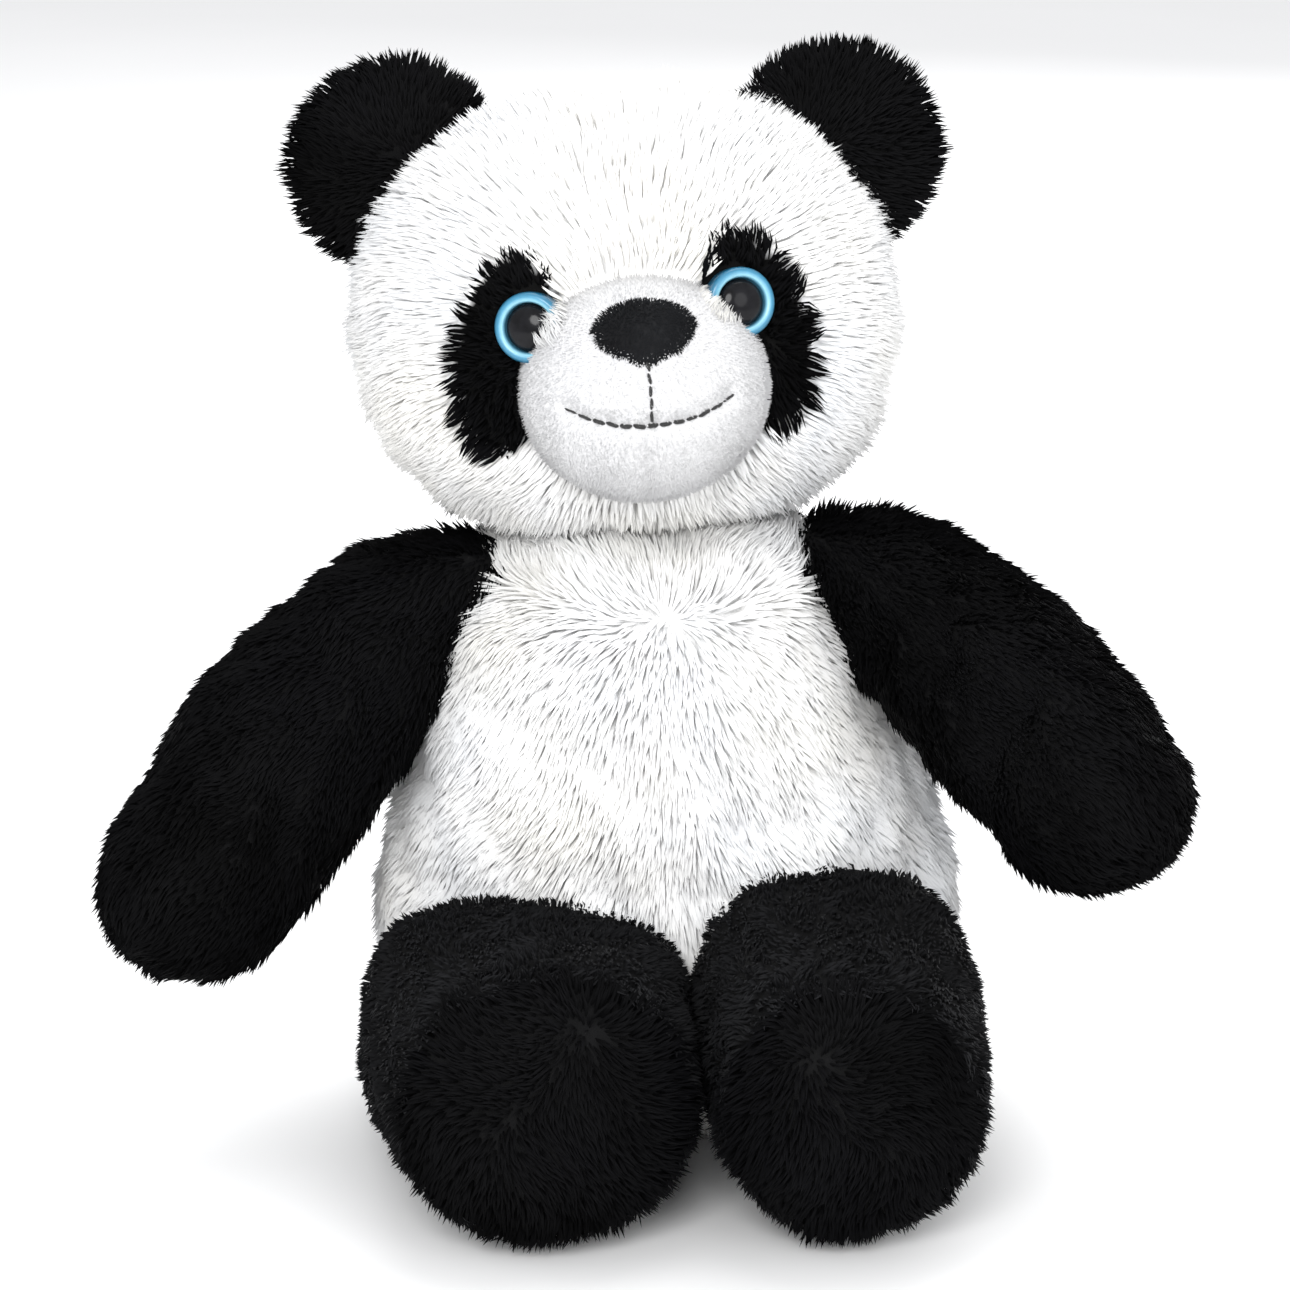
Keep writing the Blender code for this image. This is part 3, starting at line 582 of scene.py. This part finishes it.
def grow(name, skin, body, look, length, flow, *, seed, spacing, width, rise, lay, wild, lock, pull,
         keep=None):
    """Grows pile on a skin: rise lifts it along the normal, lay combs it along flow, wild ruffles it,
    and lock and pull say how many locks it gathers into and how tightly. keep picks the roots that
    stay."""
    draw = np.random.RandomState(seed)
    roots, normals = scatter(skin, spacing, draw)
    if keep:
        kept = keep(roots)
        roots, normals = roots[kept], normals[kept]
    comb = unit(flow(roots))
    comb = comb - normals * (comb * normals).sum(1, keepdims=True)
    heading = normals * rise + comb * lay
    waves = ripple(roots, RUFFLE_SIZE, seed + 100)
    heading += waves * wild * 0.7 + draw.normal(size=roots.shape) * wild * 0.35
    heading = unit(heading)
    lift = (heading * normals).sum(1, keepdims=True)
    heading = unit(heading + normals * np.maximum(0, LEAST_LIFT - lift))
    size = length(roots) if callable(length) else np.full(len(roots), length)
    size = size * draw.uniform(*LENGTHS, len(roots))
    tips = roots + heading * size[:, None]
    tips = clump_tips(roots, tips, lock, pull, draw)
    knees = roots + unit(heading + normals * 0.5) * size[:, None] * 0.5
    roots = roots - normals * ROOT_DEPTH
    widths = np.minimum(width, size * 0.3) * draw.uniform(*WIDTHS, len(roots))
    pieces = max(1, -(-len(roots) // MOST_TUFTS))
    centre = roots.mean(0)
    order = np.argsort(np.arctan2(roots[:, 0] - centre[0], roots[:, 1] - centre[1]), kind="stable")
    for number, part in enumerate(np.array_split(order, pieces)):
        label = f"{name}_{number + 1}" if pieces > 1 else name
        mesh = tuft_mesh(label, roots[part], knees[part], tips[part], widths[part], normals[part])
        obj = add(label, mesh, look)
        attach(obj, body)


def combed(*direction):
    """Pile that all runs one way."""
    return lambda points: np.tile(np.array(direction, float), (len(points), 1))


def away_from(centre):
    """Pile that runs outwards from a centre."""
    return lambda points: unit(points - np.array(centre))


# Torso

def oval(centre, half_wide, half_deep, count=24):
    """Points round a level oval."""
    return [tuple(centre + Vector((half_wide * cos(angle), half_deep * sin(angle), 0)))
            for angle in turns(count)]


def make_torso():
    """The covers' hull, filled out under the head as far as the arms."""
    full = [point for height, back, half_wide, half_deep in NECK_OVALS
            for point in oval(Vector((NECK_SIDEWAYS, back, height)), half_wide, half_deep)]
    points = np.vstack([node_points(*TORSO_NODES), full])
    return hull_skin("torso_skin", "white_backing", points, INSET["torso"])


def torso_seams(points):
    """How far points are from the side seams, the centre seam and the seat's edge."""
    side = plane_distance((0, 0.006, 0.03), (0, cos(radians(9)), -sin(radians(9))))
    centre = plane_distance((0, 0, 0), (1, 0, 0))
    seat = plane_distance((0, 0, 0.012), (0, 0, 1))
    return any_of(side, centre, seat)(points)


def belly_flow(points):
    """Down the belly, parting along the centre seam and turning outwards at the sides, but up round
    the neck."""
    part = np.tanh(points[:, 0] / 0.02)
    collar = np.clip((points[:, 2] - 0.128) / 0.016, 0, 1)
    return np.stack([0.55 * part, np.full_like(part, -0.1), -1 + 1.9 * collar], 1)


def torso_kept(roots):
    """No pile under the seat or where the arms and the thighs press on the torso."""
    hidden = roots[:, 2] < 0.004
    for side in SIDES:
        shoulder = np.array(joint_place("arm_swing_" + side))
        hip = np.array(joint_place("leg_lift_" + side))
        hidden |= np.linalg.norm(roots - shoulder, axis=1) < SHOULDER_BARE
        hidden |= np.linalg.norm(roots - hip, axis=1) < HIP_BARE
    return ~hidden


# Head

def head_flow(points):
    """Away from the muzzle over the whole head, falling on the cheeks and at the back."""
    out = unit(points - np.array(muzzle_centre))
    sideways = np.abs((points - np.array(head_centre)) @ np.array(across)) / 0.07
    fall = [np.zeros_like(sideways), np.full_like(sideways, 0.15), -0.55 * sideways]
    return out + np.stack(fall, 1)


def in_patch(points):
    """Whether points are within the leaning oval of black cloth round either eye."""
    found = np.zeros(len(points), bool)
    for side, sign in SIDES.items():
        offset = points - np.array(eye_axis(side)[0])
        x = offset @ np.array(across) * sign - PATCH_SHIFT[side].x
        z = offset @ np.array(up) - PATCH_SHIFT[side].y
        wide = (x * cos(PATCH_LEAN) + z * sin(PATCH_LEAN)) / PATCH_HALF.x
        tall = (z * cos(PATCH_LEAN) - x * sin(PATCH_LEAN)) / PATCH_HALF.y
        found |= (wide ** 2 + tall ** 2 < 1) & (offset @ np.array(behind) < FACE_DEPTH)
    return found


muzzle_points = node_points(*both("muzzle_cover_{}")) @ head_axes.T
MUZZLE_HALF = (muzzle_points.max(0) - muzzle_points.min(0)) / 2
muzzle_middle = Vector(head_axes.T @ ((muzzle_points.max(0) + muzzle_points.min(0)) / 2))


def to_muzzle(points):
    """Places measured from the muzzle's middle: across, behind and up."""
    return (points - np.array(muzzle_middle)) @ head_axes.T


def clear_of_muzzle(points):
    return np.linalg.norm(to_muzzle(points) / MUZZLE_HALF, axis=1) > 0.97


def eye_axis(side):
    """The eye's centre line: a point on it and its outward direction."""
    dome = Vector(node_points("eye_dome_" + side).mean(0))
    washer = Vector(node_points("eye_washer_" + side).mean(0))
    return dome, (dome - washer).normalized()


def clear_of_eyes(points):
    kept = np.ones(len(points), bool)
    for side in SIDES:
        centre, out = eye_axis(side)
        offset = points - np.array(centre)
        flat = offset - np.outer(offset @ np.array(out), out)
        kept &= (np.linalg.norm(flat, axis=1) > EYE_CLEARANCE) | (offset @ np.array(out) < -FACE_DEPTH)
    return kept


def make_head():
    return hull_skin("head_skin", "head_backing", node_points(*HEAD_NODES), INSET["head"])


def head_seams(points):
    """How far points are from the seam over the head's middle and the one from ear to ear."""
    return any_of(plane_distance(head_centre, across),
                  plane_distance(head_centre + behind * 0.006, behind))(points)


def grow_head(skin):
    patch = skin.data.attributes.new("patch", "FLOAT", "POINT")
    patch.data.foreach_set("value", in_patch(coordinates(skin)).astype(np.float32))
    def face(roots):
        return clear_of_muzzle(roots) & clear_of_eyes(roots)
    def white(roots):
        return face(roots) & ~in_patch(roots)
    grow("head_pile", skin, "head", "white_pile", HEAD_PILE, head_flow, keep=white, seed=11,
         spacing=0.00102, width=0.0010, rise=0.48, lay=0.85, wild=0.22, lock=0.15, pull=0.25)
    for side, sign in SIDES.items():
        def own_patch(roots):
            own_side = (roots - np.array(head_centre)) @ np.array(across) * sign > 0
            return face(roots) & in_patch(roots) & own_side
        centre = eye_axis(side)[0]
        middle = centre + across * (sign * PATCH_SHIFT[side].x) + up * PATCH_SHIFT[side].y + behind * 0.02
        grow("eye_patch_pile_" + side, skin, "head", "black_pile", PATCH_PILE,
             away_from(middle), keep=own_patch, seed=21, spacing=0.00095, width=0.0007, rise=0.8, lay=0.6,
             wild=0.3, lock=0.08, pull=0.6)


def grow_wisps(skin):
    """White wisps at the muzzle's edge that stray over the inner corner of each eye."""
    for side in SIDES:
        centre = eye_axis(side)[0]
        def beside_eye(roots):
            offset = roots - np.array(centre)
            return (np.linalg.norm(offset, axis=1) < WISP_REACH) & (offset @ np.array(up) > -0.006)
        def towards_eye(points):
            return unit(np.array(centre + up * 0.006) - points)
        grow("eye_wisps_" + side, skin, "head", "white_pile", WISP[side], towards_eye,
             keep=beside_eye, seed=33, spacing=0.00085, width=0.00036, rise=0.9, lay=0.8, wild=0.6,
             lock=0.15, pull=0.5)


# Muzzle, nose and mouth

def smile_height(x):
    return SMILE_LOW + (SMILE_HIGH - SMILE_LOW) * abs(x / SMILE_HALF) ** 2.4


def make_muzzle():
    """The short-pile bag, drawn in along the smile, the lip line and the chin seam."""
    points = node_points(*both("muzzle_cover_{}"))
    skin = hull_skin("muzzle_skin", "velvet", points, INSET["muzzle"], FINE_VOXEL)
    points = coordinates(skin)
    x, y, z = to_muzzle(points).T
    front = np.clip(-y / 0.008, 0, 1)
    smile = np.exp(-((z - smile_height(x)) / 0.0017) ** 2) * (np.abs(x) < SMILE_HALF * 1.02)
    lip = np.exp(-(x / 0.0012) ** 2) * (z > SMILE_LOW) * (z < 0.012)
    chin = np.exp(-(x / 0.0013) ** 2) * (z <= SMILE_LOW)
    depth = front * (SMILE_DEPTH * smile + LIP_DEPTH * lip + CHIN_DEPTH * chin)
    normals = np.empty(len(points) * 3)
    skin.data.vertices.foreach_get("normal", normals)
    set_coordinates(skin, points - normals.reshape(-1, 3) * depth[:, None])
    subdivide(skin)
    finish_skin(skin, "head", both("muzzle_cover_{}"))
    grow("muzzle_velvet", skin, "head", "muzzle_pile", VELVET_PILE, head_flow,
         spacing=0.00085, width=0.00032, rise=0.6, lay=0.8, wild=0.3, lock=0.2, pull=0.1, seed=31,
         keep=lambda roots: to_muzzle(roots)[:, 1] < 0.010)
    return skin


def surface_finder(skin):
    """Finds the muzzle's surface in front of a place (x across, z up) measured from its centre."""
    tree = BVHTree.FromPolygons([tuple(v.co) for v in skin.data.vertices],
                                [tuple(p.vertices) for p in skin.data.polygons])
    def find(x, z):
        start = muzzle_middle + across * x + up * z - behind * 0.08
        place, normal, _, _ = tree.ray_cast(start, behind)
        return place, normal
    return find


def nose_height():
    """How high the nose's middle is above the muzzle's."""
    return (Vector(node_points("nose_pad").mean(0)) - muzzle_middle).dot(up) - NOSE_SINK


def make_nose(find):
    """A domed pad of dark velvet, wide above and drawn to a small point below."""
    rise = nose_height()
    rings, segments = 9, 44
    bm = bmesh.new()
    def ring(share, lift):
        made = []
        for step in range(segments):
            angle = 2 * pi * (step + 0.5) / segments
            x, z = cos(angle), sin(angle)
            narrow = 1 - 0.16 * max(0, -z) ** 1.5
            beak = 0.14 * max(0, -z) ** 14
            frayed = 1 + 0.022 * share * (sin(7 * angle + 1) + sin(13 * angle)) * (z < 0.3)
            place, normal = find(NOSE_HALF.x * x * share * narrow * frayed,
                                 rise + NOSE_HALF.y * (z * frayed - beak) * share)
            made.append(bm.verts.new(place + normal * lift))
        return made
    shares = [sin(pi / 2 * step / rings) for step in range(1, rings + 1)]
    previous = ring(shares[0], NOSE_DOME)
    place, normal = find(0, rise)
    crown = bm.verts.new(place + normal * NOSE_DOME)
    for step in range(segments):
        bm.faces.new((crown, previous[step], previous[(step + 1) % segments]))
    for share in shares[1:]:
        current = ring(share, NOSE_DOME * sqrt(max(0, 1 - share ** 2.6)) - NOSE_EDGE)
        bridge(bm, previous, current)
        previous = current
    floor_ring = ring(0.5, -NOSE_ROOT)
    bridge(bm, previous, floor_ring)
    base = bm.verts.new(place - normal * NOSE_ROOT)
    for step in range(segments):
        bm.faces.new((base, floor_ring[(step + 1) % segments], floor_ring[step]))
    nose = add_bmesh("nose", bm, "nose_velvet")
    finish_skin(nose, "head", ["nose_pad"])
    grow("nose_velvet_pile", nose, "head", "nose_pile", VELVET_PILE, combed(0, 0, -1),
         spacing=0.00042, width=0.00030, rise=0.7, lay=0.6, wild=0.4, lock=0.2, pull=0.2, seed=41)


def stitch_run(name, find, places, node):
    """Separate stitches of thread; places are each one's thickness and the (x, z) points it follows."""
    bm = bmesh.new()
    for thickness, run in places:
        centres = [find(x, z) for x, z in run]
        rings = []
        for index, (place, normal) in enumerate(centres):
            end = min(index, len(centres) - 1 - index)
            reach = thickness * (0.45 if end == 0 else 1.0)
            lift = normal * (VELVET_PILE * 0.3 + thickness * (-0.4 if end == 0 else 0.3))
            ahead = centres[min(index + 1, len(centres) - 1)][0] - centres[max(index - 1, 0)][0]
            side = ahead.cross(normal).normalized()
            ring = []
            for angle in turns(THREAD_SIDES):
                ring.append(bm.verts.new(place + lift + (side * cos(angle) + normal * sin(angle)) * reach))
            rings.append(ring)
        for first, second in zip(rings, rings[1:]):
            bridge(bm, first, second)
        bm.faces.new(rings[0])
        bm.faces.new(rings[-1])
    obj = add_bmesh(name, bm, "black_thread")
    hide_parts(node)
    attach(obj, "head")


def make_mouth(find):
    draw = np.random.RandomState(51)
    runs = []
    pitch = 2 * SMILE_HALF / SMILE_STITCHES
    for number in range(SMILE_STITCHES):
        start = -SMILE_HALF + pitch * (number + 0.06)
        slant = draw.uniform(-0.00040, 0.00040)
        xs = np.linspace(start, start + pitch * 0.90, 6)
        thickness = STITCH * (1.25 - 0.75 * abs(start + pitch / 2) / SMILE_HALF) * draw.uniform(0.85, 1.2)
        runs.append((thickness, [(x, smile_height(x) + slant * (2 * i / 5 - 1)) for i, x in enumerate(xs)]))
    stitch_run("smile_stitches", find, runs, "smile_stitch")
    top, bottom = nose_height() - NOSE_HALF.y, SMILE_LOW + 0.0004
    runs = []
    for number in range(LIP_STITCHES):
        start = top + (bottom - top) * number / LIP_STITCHES
        zs = np.linspace(start, start + (bottom - top) / LIP_STITCHES * 0.86, 5)
        lean = draw.uniform(-0.0003, 0.0003)
        runs.append((STITCH * 0.75, [(lean * (2 * i / 4 - 1), z) for i, z in enumerate(zs)]))
    stitch_run("lip_stitches", find, runs, "lip_stitch")


# Eyes

def turned_piece(name, look, profile, centre, out, steps=56):
    """A solid turned about the eye's centre line from (radius, height) points, from the top outwards."""
    turn = out.to_track_quat("Z", "Y").to_matrix()
    bm = bmesh.new()
    rings = []
    for radius, height in profile:
        if radius == 0:
            rings.append([bm.verts.new(centre + turn @ Vector((0, 0, height)))])
            continue
        places = [Vector((radius * cos(angle), radius * sin(angle), height)) for angle in turns(steps)]
        rings.append([bm.verts.new(centre + turn @ place) for place in places])
    for first, second in zip(rings, rings[1:]):
        for step in range(steps):
            after = (step + 1) % steps
            corners = [first[step % len(first)], second[step % len(second)],
                       second[after % len(second)], first[after % len(first)]]
            bm.faces.new(list(dict.fromkeys(corners)))
    return add_bmesh(name, bm, look)


def make_eye(side):
    """A pearl ring with a rounded lip, and a glossy dome set down inside it."""
    centre, out = eye_axis(side)
    points = node_points("eye_ring_" + side) - np.array(centre)
    radius = np.linalg.norm(np.cross(points, out), axis=1).max()
    heights = points @ np.array(out)
    top, bottom = heights.max(), heights.min()
    pupil = radius * PUPIL_SHARE
    lip = (radius - pupil) / 2
    middle = pupil + lip
    profile = [(0, top - DOME_SEAT), (pupil, top - DOME_SEAT), (pupil, top - lip)]
    steps = 12
    for step in range(1, steps):
        angle = pi - pi * step / steps
        profile.append((middle + lip * cos(angle), top - lip + lip * sin(angle)))
    profile += [(radius, top - lip), (radius, top - RING_DEPTH), (0.0035, top - 0.0060),
                (STEM_RADIUS, top - STEM_DEPTH), (STEM_RADIUS, bottom + 0.0006), (0.0014, bottom),
                (0, bottom)]
    ring = turned_piece("pearl_ring_" + side, "iris", profile, centre, out)
    inward = ring.data.attributes.new("inward", "FLOAT", "POINT")
    far = np.linalg.norm(np.cross(coordinates(ring) - np.array(centre), out), axis=1)
    inward.data.foreach_set("value", np.clip((radius - far) / (radius - pupil), 0, 1).astype(np.float32))
    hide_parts("eye_ring_" + side)
    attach(ring, "head")
    dome = [(0, top + DOME_RISE)]
    steps = 8
    for step in range(1, steps + 1):
        angle = pi / 2 * step / steps
        dome.append(((pupil - DOME_GAP) * sin(angle), top - 0.0019 + DOME_HEIGHT * cos(angle)))
    dome += [(pupil - DOME_GAP, top - DOME_BASE), (0, top - DOME_BASE)]
    glass = turned_piece("glossy_pupil_" + side, "pupil", dome, centre, out)
    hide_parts("eye_dome_" + side)
    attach(glass, "head")


# Seams that the pile closes over

def drawn_seam(name, share):
    """The ring of thread that closes a limb's opening, pulled tight under the pile."""
    points = node_points(name)
    centre = (points.min(0) + points.max(0)) / 2
    axis = np.linalg.svd(points - points.mean(0), full_matrices=False)[2][2]
    turn = Vector(axis).to_track_quat("Z", "Y").to_matrix()
    radius = np.linalg.norm(np.cross(points - centre, axis), axis=1).max() * share
    bm = bmesh.new()
    rings = []
    for angle in turns(96):
        spoke = Vector((cos(angle), sin(angle), 0))
        ring = []
        for turned in turns(THREAD_SIDES):
            ring.append(bm.verts.new(Vector(centre) + turn @ (
                spoke * (radius + THREAD * (1 + 0.2 * sin(24 * angle)) * cos(turned))
                + Vector((0, 0, THREAD * sin(turned))))))
        rings.append(ring)
    for first, second in zip(rings, rings[1:] + rings[:1]):
        bridge(bm, first, second)
    seam = add_bmesh("drawn_" + name, bm, "black_thread")
    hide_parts(name)
    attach(seam, "body")


# Ears, arms and legs

def ear_nodes(side):
    return [f"ear_front_{side}", f"ear_back_{side}"]


def arm_nodes(side):
    return [f"arm_front_cover_{side}", f"arm_back_cover_{side}"]


def leg_nodes(side):
    return [f"leg_outer_cover_{side}", f"leg_inner_cover_{side}", f"foot_sole_{side}"]


def make_ear(side):
    points = node_points(*ear_nodes(side))
    return hull_skin("ear_skin_" + side, "black_backing", points, INSET["ear"], EAR_VOXEL)


def grow_ear(side, skin):
    subdivide(skin)
    root = joint_place("ear_fold_" + side)
    finish_skin(skin, "ear_" + side, ear_nodes(side))
    grow("ear_pile_" + side, skin, "ear_" + side, "black_pile", EAR_PILE, away_from(root),
         spacing=0.0010, width=0.0007, rise=0.5, lay=0.8, wild=0.3, lock=0.12, pull=0.3, seed=61)


def limb_axis(joint, *nodes):
    """A limb's joint, and its direction from there."""
    root = joint_place(joint)
    return root, (Vector(node_points(*nodes).mean(0)) - root).normalized()


def make_arm(side):
    """The covers' hull, filled out at the shoulder."""
    shoulder = joint_place("arm_swing_" + side)
    sign = SIDES[side]
    top = shoulder + Vector((-sign * 0.015, -0.003, 0.0225))
    outer = shoulder + Vector((sign * 0.008, 0, 0.0195))
    places = ((top, 0.009, 0.014), (top - Vector((0, 0, 0.010)), 0.010, 0.017),
              (outer, 0.012, 0.018), (shoulder, 0.014, 0.024))
    full = [point for place, half_wide, half_deep in places
            for point in oval(place, half_wide, half_deep, count=12)]
    points = np.vstack([node_points(*arm_nodes(side)), full])
    return hull_skin("arm_skin_" + side, "black_backing", points, INSET["arm"])


def arm_seam(side):
    front = node_points("arm_front_cover_" + side).mean(0)
    back = node_points("arm_back_cover_" + side).mean(0)
    return plane_distance((front + back) / 2, back - front)


def grow_arm(side, skin):
    finish_skin(skin, "arm_" + side, arm_nodes(side))
    axis = limb_axis("arm_swing_" + side, *arm_nodes(side))[1]
    grow("arm_pile_" + side, skin, "arm_" + side, "black_pile", BLACK_PILE, combed(*axis),
         spacing=0.00116, width=0.0008, rise=0.42, lay=0.85, wild=0.24, lock=0.15, pull=0.3, seed=71)


def thigh_ring(side):
    """Points round the top of the thigh, which is fuller and squarer than the knee."""
    hip, axis = limb_axis("leg_lift_" + side, "foot_sole_" + side)
    covers = node_points(f"leg_outer_cover_{side}", f"leg_inner_cover_{side}")
    half = (covers.max(0) - covers.min(0)) / 2
    points = []
    for depth, share in THIGH_RINGS:
        for angle in turns(24):
            x = abs(cos(angle)) ** THIGH_SQUARENESS * np.sign(cos(angle)) * half[0] * share
            z = abs(sin(angle)) ** THIGH_SQUARENESS * np.sign(sin(angle)) * half[2] * share * 0.97
            points.append(np.array(hip + axis * depth) + np.array((x, 0, z)))
    return np.array(points)


def sole_start(side):
    """The hip, the leg's direction from there, and how far along it the sole begins."""
    hip, axis = limb_axis("leg_lift_" + side, "foot_sole_" + side)
    sole = node_points("foot_sole_" + side)
    return hip, axis, ((sole - np.array(hip)) @ np.array(axis)).min()


def make_leg(side):
    points = np.vstack([node_points(*leg_nodes(side)), thigh_ring(side)])
    return hull_skin("leg_skin_" + side, "black_backing", points, INSET["leg"])


def leg_seams(side):
    outer = node_points("leg_outer_cover_" + side).mean(0)
    inner = node_points("leg_inner_cover_" + side).mean(0)
    hip, axis, start = sole_start(side)
    return any_of(plane_distance((outer + inner) / 2, outer - inner),
                  plane_distance(hip + axis * start, axis))


def grow_leg(side, skin):
    finish_skin(skin, "leg_" + side, leg_nodes(side))
    hip, axis, start = sole_start(side)
    start -= 0.006
    centre = hip + axis * start
    def distance(roots):
        return (roots - np.array(hip)) @ np.array(axis)
    def radial(points):
        offset = points - np.array(centre)
        spokes = offset - np.outer(offset @ np.array(axis), axis)
        fanned = np.minimum(1, np.linalg.norm(spokes, axis=1, keepdims=True) / 0.03)
        return unit(spokes) * fanned + np.array((0, 0, -0.45)) + ripple(points, 0.03, 92) * 0.35
    def thigh_length(roots):
        return THIGH_PILE + 0.003 * np.clip((distance(roots) - start + 0.02) / 0.02, 0, 1)
    grow("thigh_pile_" + side, skin, "leg_" + side, "thigh_pile", thigh_length,
         combed(*axis), spacing=0.0013, width=0.0007, rise=0.6, lay=0.75, wild=0.4, lock=0.1, pull=0.4,
         seed=81, keep=lambda roots: (distance(roots) < start) & (distance(roots) > -LEG_BARE))
    grow("sole_pile_" + side, skin, "leg_" + side, "black_pile", BLACK_PILE, radial,
         spacing=0.00112, width=0.0008, rise=0.5, lay=0.8, wild=0.34, lock=0.12, pull=0.35, seed=91,
         keep=lambda roots: distance(roots) >= start)


# Label

def make_label():
    """A blank woven label that curls a little away from the back."""
    centre = Vector(node_points("care_label").mean(0))
    turn = Euler((radians(18), 0, radians(16))).to_matrix()
    width_axis = turn @ Vector((1, 0, 0))
    drop_axis = turn @ Vector((0, 0, -1))
    out_axis = width_axis.cross(drop_axis).normalized()
    width, drop = LABEL_SIZE
    top = centre - drop_axis * drop / 2
    bm = bmesh.new()
    rows, columns = 14, 8
    grids = []
    for face in (0, 1):
        grid = []
        for row in range(rows + 1):
            line = []
            for column in range(columns + 1):
                x = width * (column / columns - 0.5)
                z = drop * row / rows
                curl = LABEL_CURL * sin(pi * row / rows) + LABEL_WAVE * cos(pi * column / columns)
                line.append(bm.verts.new(top + width_axis * x + drop_axis * z
                                         + out_axis * (curl * 0.5 + LABEL_THICKNESS * (face - 0.5))))
            grid.append(line)
        grids.append(grid)
    for grid in grids:
        for row in range(rows):
            for column in range(columns):
                bm.faces.new((grid[row][column], grid[row][column + 1], grid[row + 1][column + 1],
                              grid[row + 1][column]))
    rim = ([(0, c) for c in range(columns)] + [(r, columns) for r in range(rows)]
           + [(rows, c) for c in range(columns, 0, -1)] + [(r, 0) for r in range(rows, 0, -1)])
    for (r, c), (s, d) in zip(rim, rim[1:] + rim[:1]):
        bm.faces.new((grids[0][r][c], grids[0][s][d], grids[1][s][d], grids[1][r][c]))
    label = add_bmesh("blank_label", bm, "label_cloth")
    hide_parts("care_label")
    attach(label, "body")


# Stage

def make_stage():
    bpy.ops.mesh.primitive_plane_add(size=12, location=(0, 2, -0.0002))
    floor = bpy.context.object
    floor.name = "floor"
    made, tree, shader = new_material("pale_floor", 0.9, Specular_IOR_Level=0.1)
    tree.links.new(ramp(tree, noise(tree, 3), (0.3, 0.93), (0.7, 0.95)), shader.inputs["Base Color"])
    floor.data.materials.append(made)


def make_light(name, place, size, power):
    data = bpy.data.lights.new(name, "AREA")
    data.shape = "DISK"
    data.size = size
    data.energy = power
    lamp = bpy.data.objects.new(name, data)
    lamp.location = place
    lamp.rotation_mode = "QUATERNION"
    lamp.rotation_quaternion = (Vector((0, 0, 0.13)) - Vector(place)).to_track_quat("-Z", "Y")
    bpy.context.scene.collection.objects.link(lamp)


def make_world():
    world = bpy.data.worlds.new("studio")
    bpy.context.scene.world = world
    world.use_nodes = True
    background = world.node_tree.nodes["Background"]
    background.inputs["Color"].default_value = (0.98, 0.985, 1.0, 1)
    background.inputs["Strength"].default_value = 0.85
    bpy.context.scene.view_settings.view_transform = "Standard"


def make_camera():
    elevation = radians(16)
    distance = 1.05
    target = Vector((-0.005, -0.010, 0.125))
    back = Vector((0, -cos(elevation), sin(elevation)))
    data = bpy.data.cameras.new("camera")
    data.lens = 114
    camera = bpy.data.objects.new("camera", data)
    camera.location = target + back * distance
    camera.rotation_mode = "QUATERNION"
    camera.rotation_quaternion = (-back).to_track_quat("-Z", "Y")
    bpy.context.scene.collection.objects.link(camera)
    bpy.context.scene.camera = camera


def dress_node(name, look):
    """Gives a node that stays as the frame has it one of the looks."""
    obj = frame["nodes"][name]
    for slot in obj.material_slots:
        slot.material = LOOKS[look]


make_camera()
make_world()
make_stage()
make_light("key", (-0.25, -1.45, 0.95), 0.8, 18)
make_light("fill", (0.8, -1.2, 0.7), 0.9, 4)
make_light("top", (0.1, 0.4, 1.6), 1.2, 9)
make_light("back", (0.5, 1.5, 0.9), 1.0, 9)

torso = make_torso()
head_skin = make_head()
arms = {side: make_arm(side) for side in SIDES}
legs = {side: make_leg(side) for side in SIDES}
ears = {side: make_ear(side) for side in SIDES}
puff([(torso, torso_seams), (head_skin, head_seams),
      *[(arms[side], arm_seam(side)) for side in SIDES],
      *[(legs[side], leg_seams(side)) for side in SIDES]])
for skin in (torso, head_skin, *arms.values(), *legs.values()):
    subdivide(skin)

finish_skin(torso, "body", TORSO_NODES)
grow("torso_pile", torso, "body", "white_pile", LONG_PILE, belly_flow, keep=torso_kept,
     seed=5, spacing=0.00104, width=0.0010, rise=0.40, lay=0.9, wild=0.22, lock=0.12, pull=0.3)
grow_head(head_skin)
finish_skin(head_skin, "head", [*HEAD_NODES, *both("eye_patch_{}")])
muzzle = make_muzzle()
grow_wisps(muzzle)
find = surface_finder(muzzle)
make_nose(find)
make_mouth(find)
for side in SIDES:
    make_eye(side)
    grow_ear(side, ears[side])
    grow_arm(side, arms[side])
    grow_leg(side, legs[side])
    dress_node("eye_washer_" + side, "washer")
    dress_node("arm_stuffing_" + side, "fibre")
    dress_node("leg_stuffing_" + side, "fibre")
    drawn_seam("shoulder_seam_" + side, SHOULDER_RING)
    drawn_seam("hip_seam_" + side, HIP_RING)
for name in ("body_stuffing", "head_stuffing", "muzzle_stuffing"):
    dress_node(name, "fibre")
dress_node("neck_seam", "white_thread")
dress_node("closing_stitches", "white_thread")
make_label()
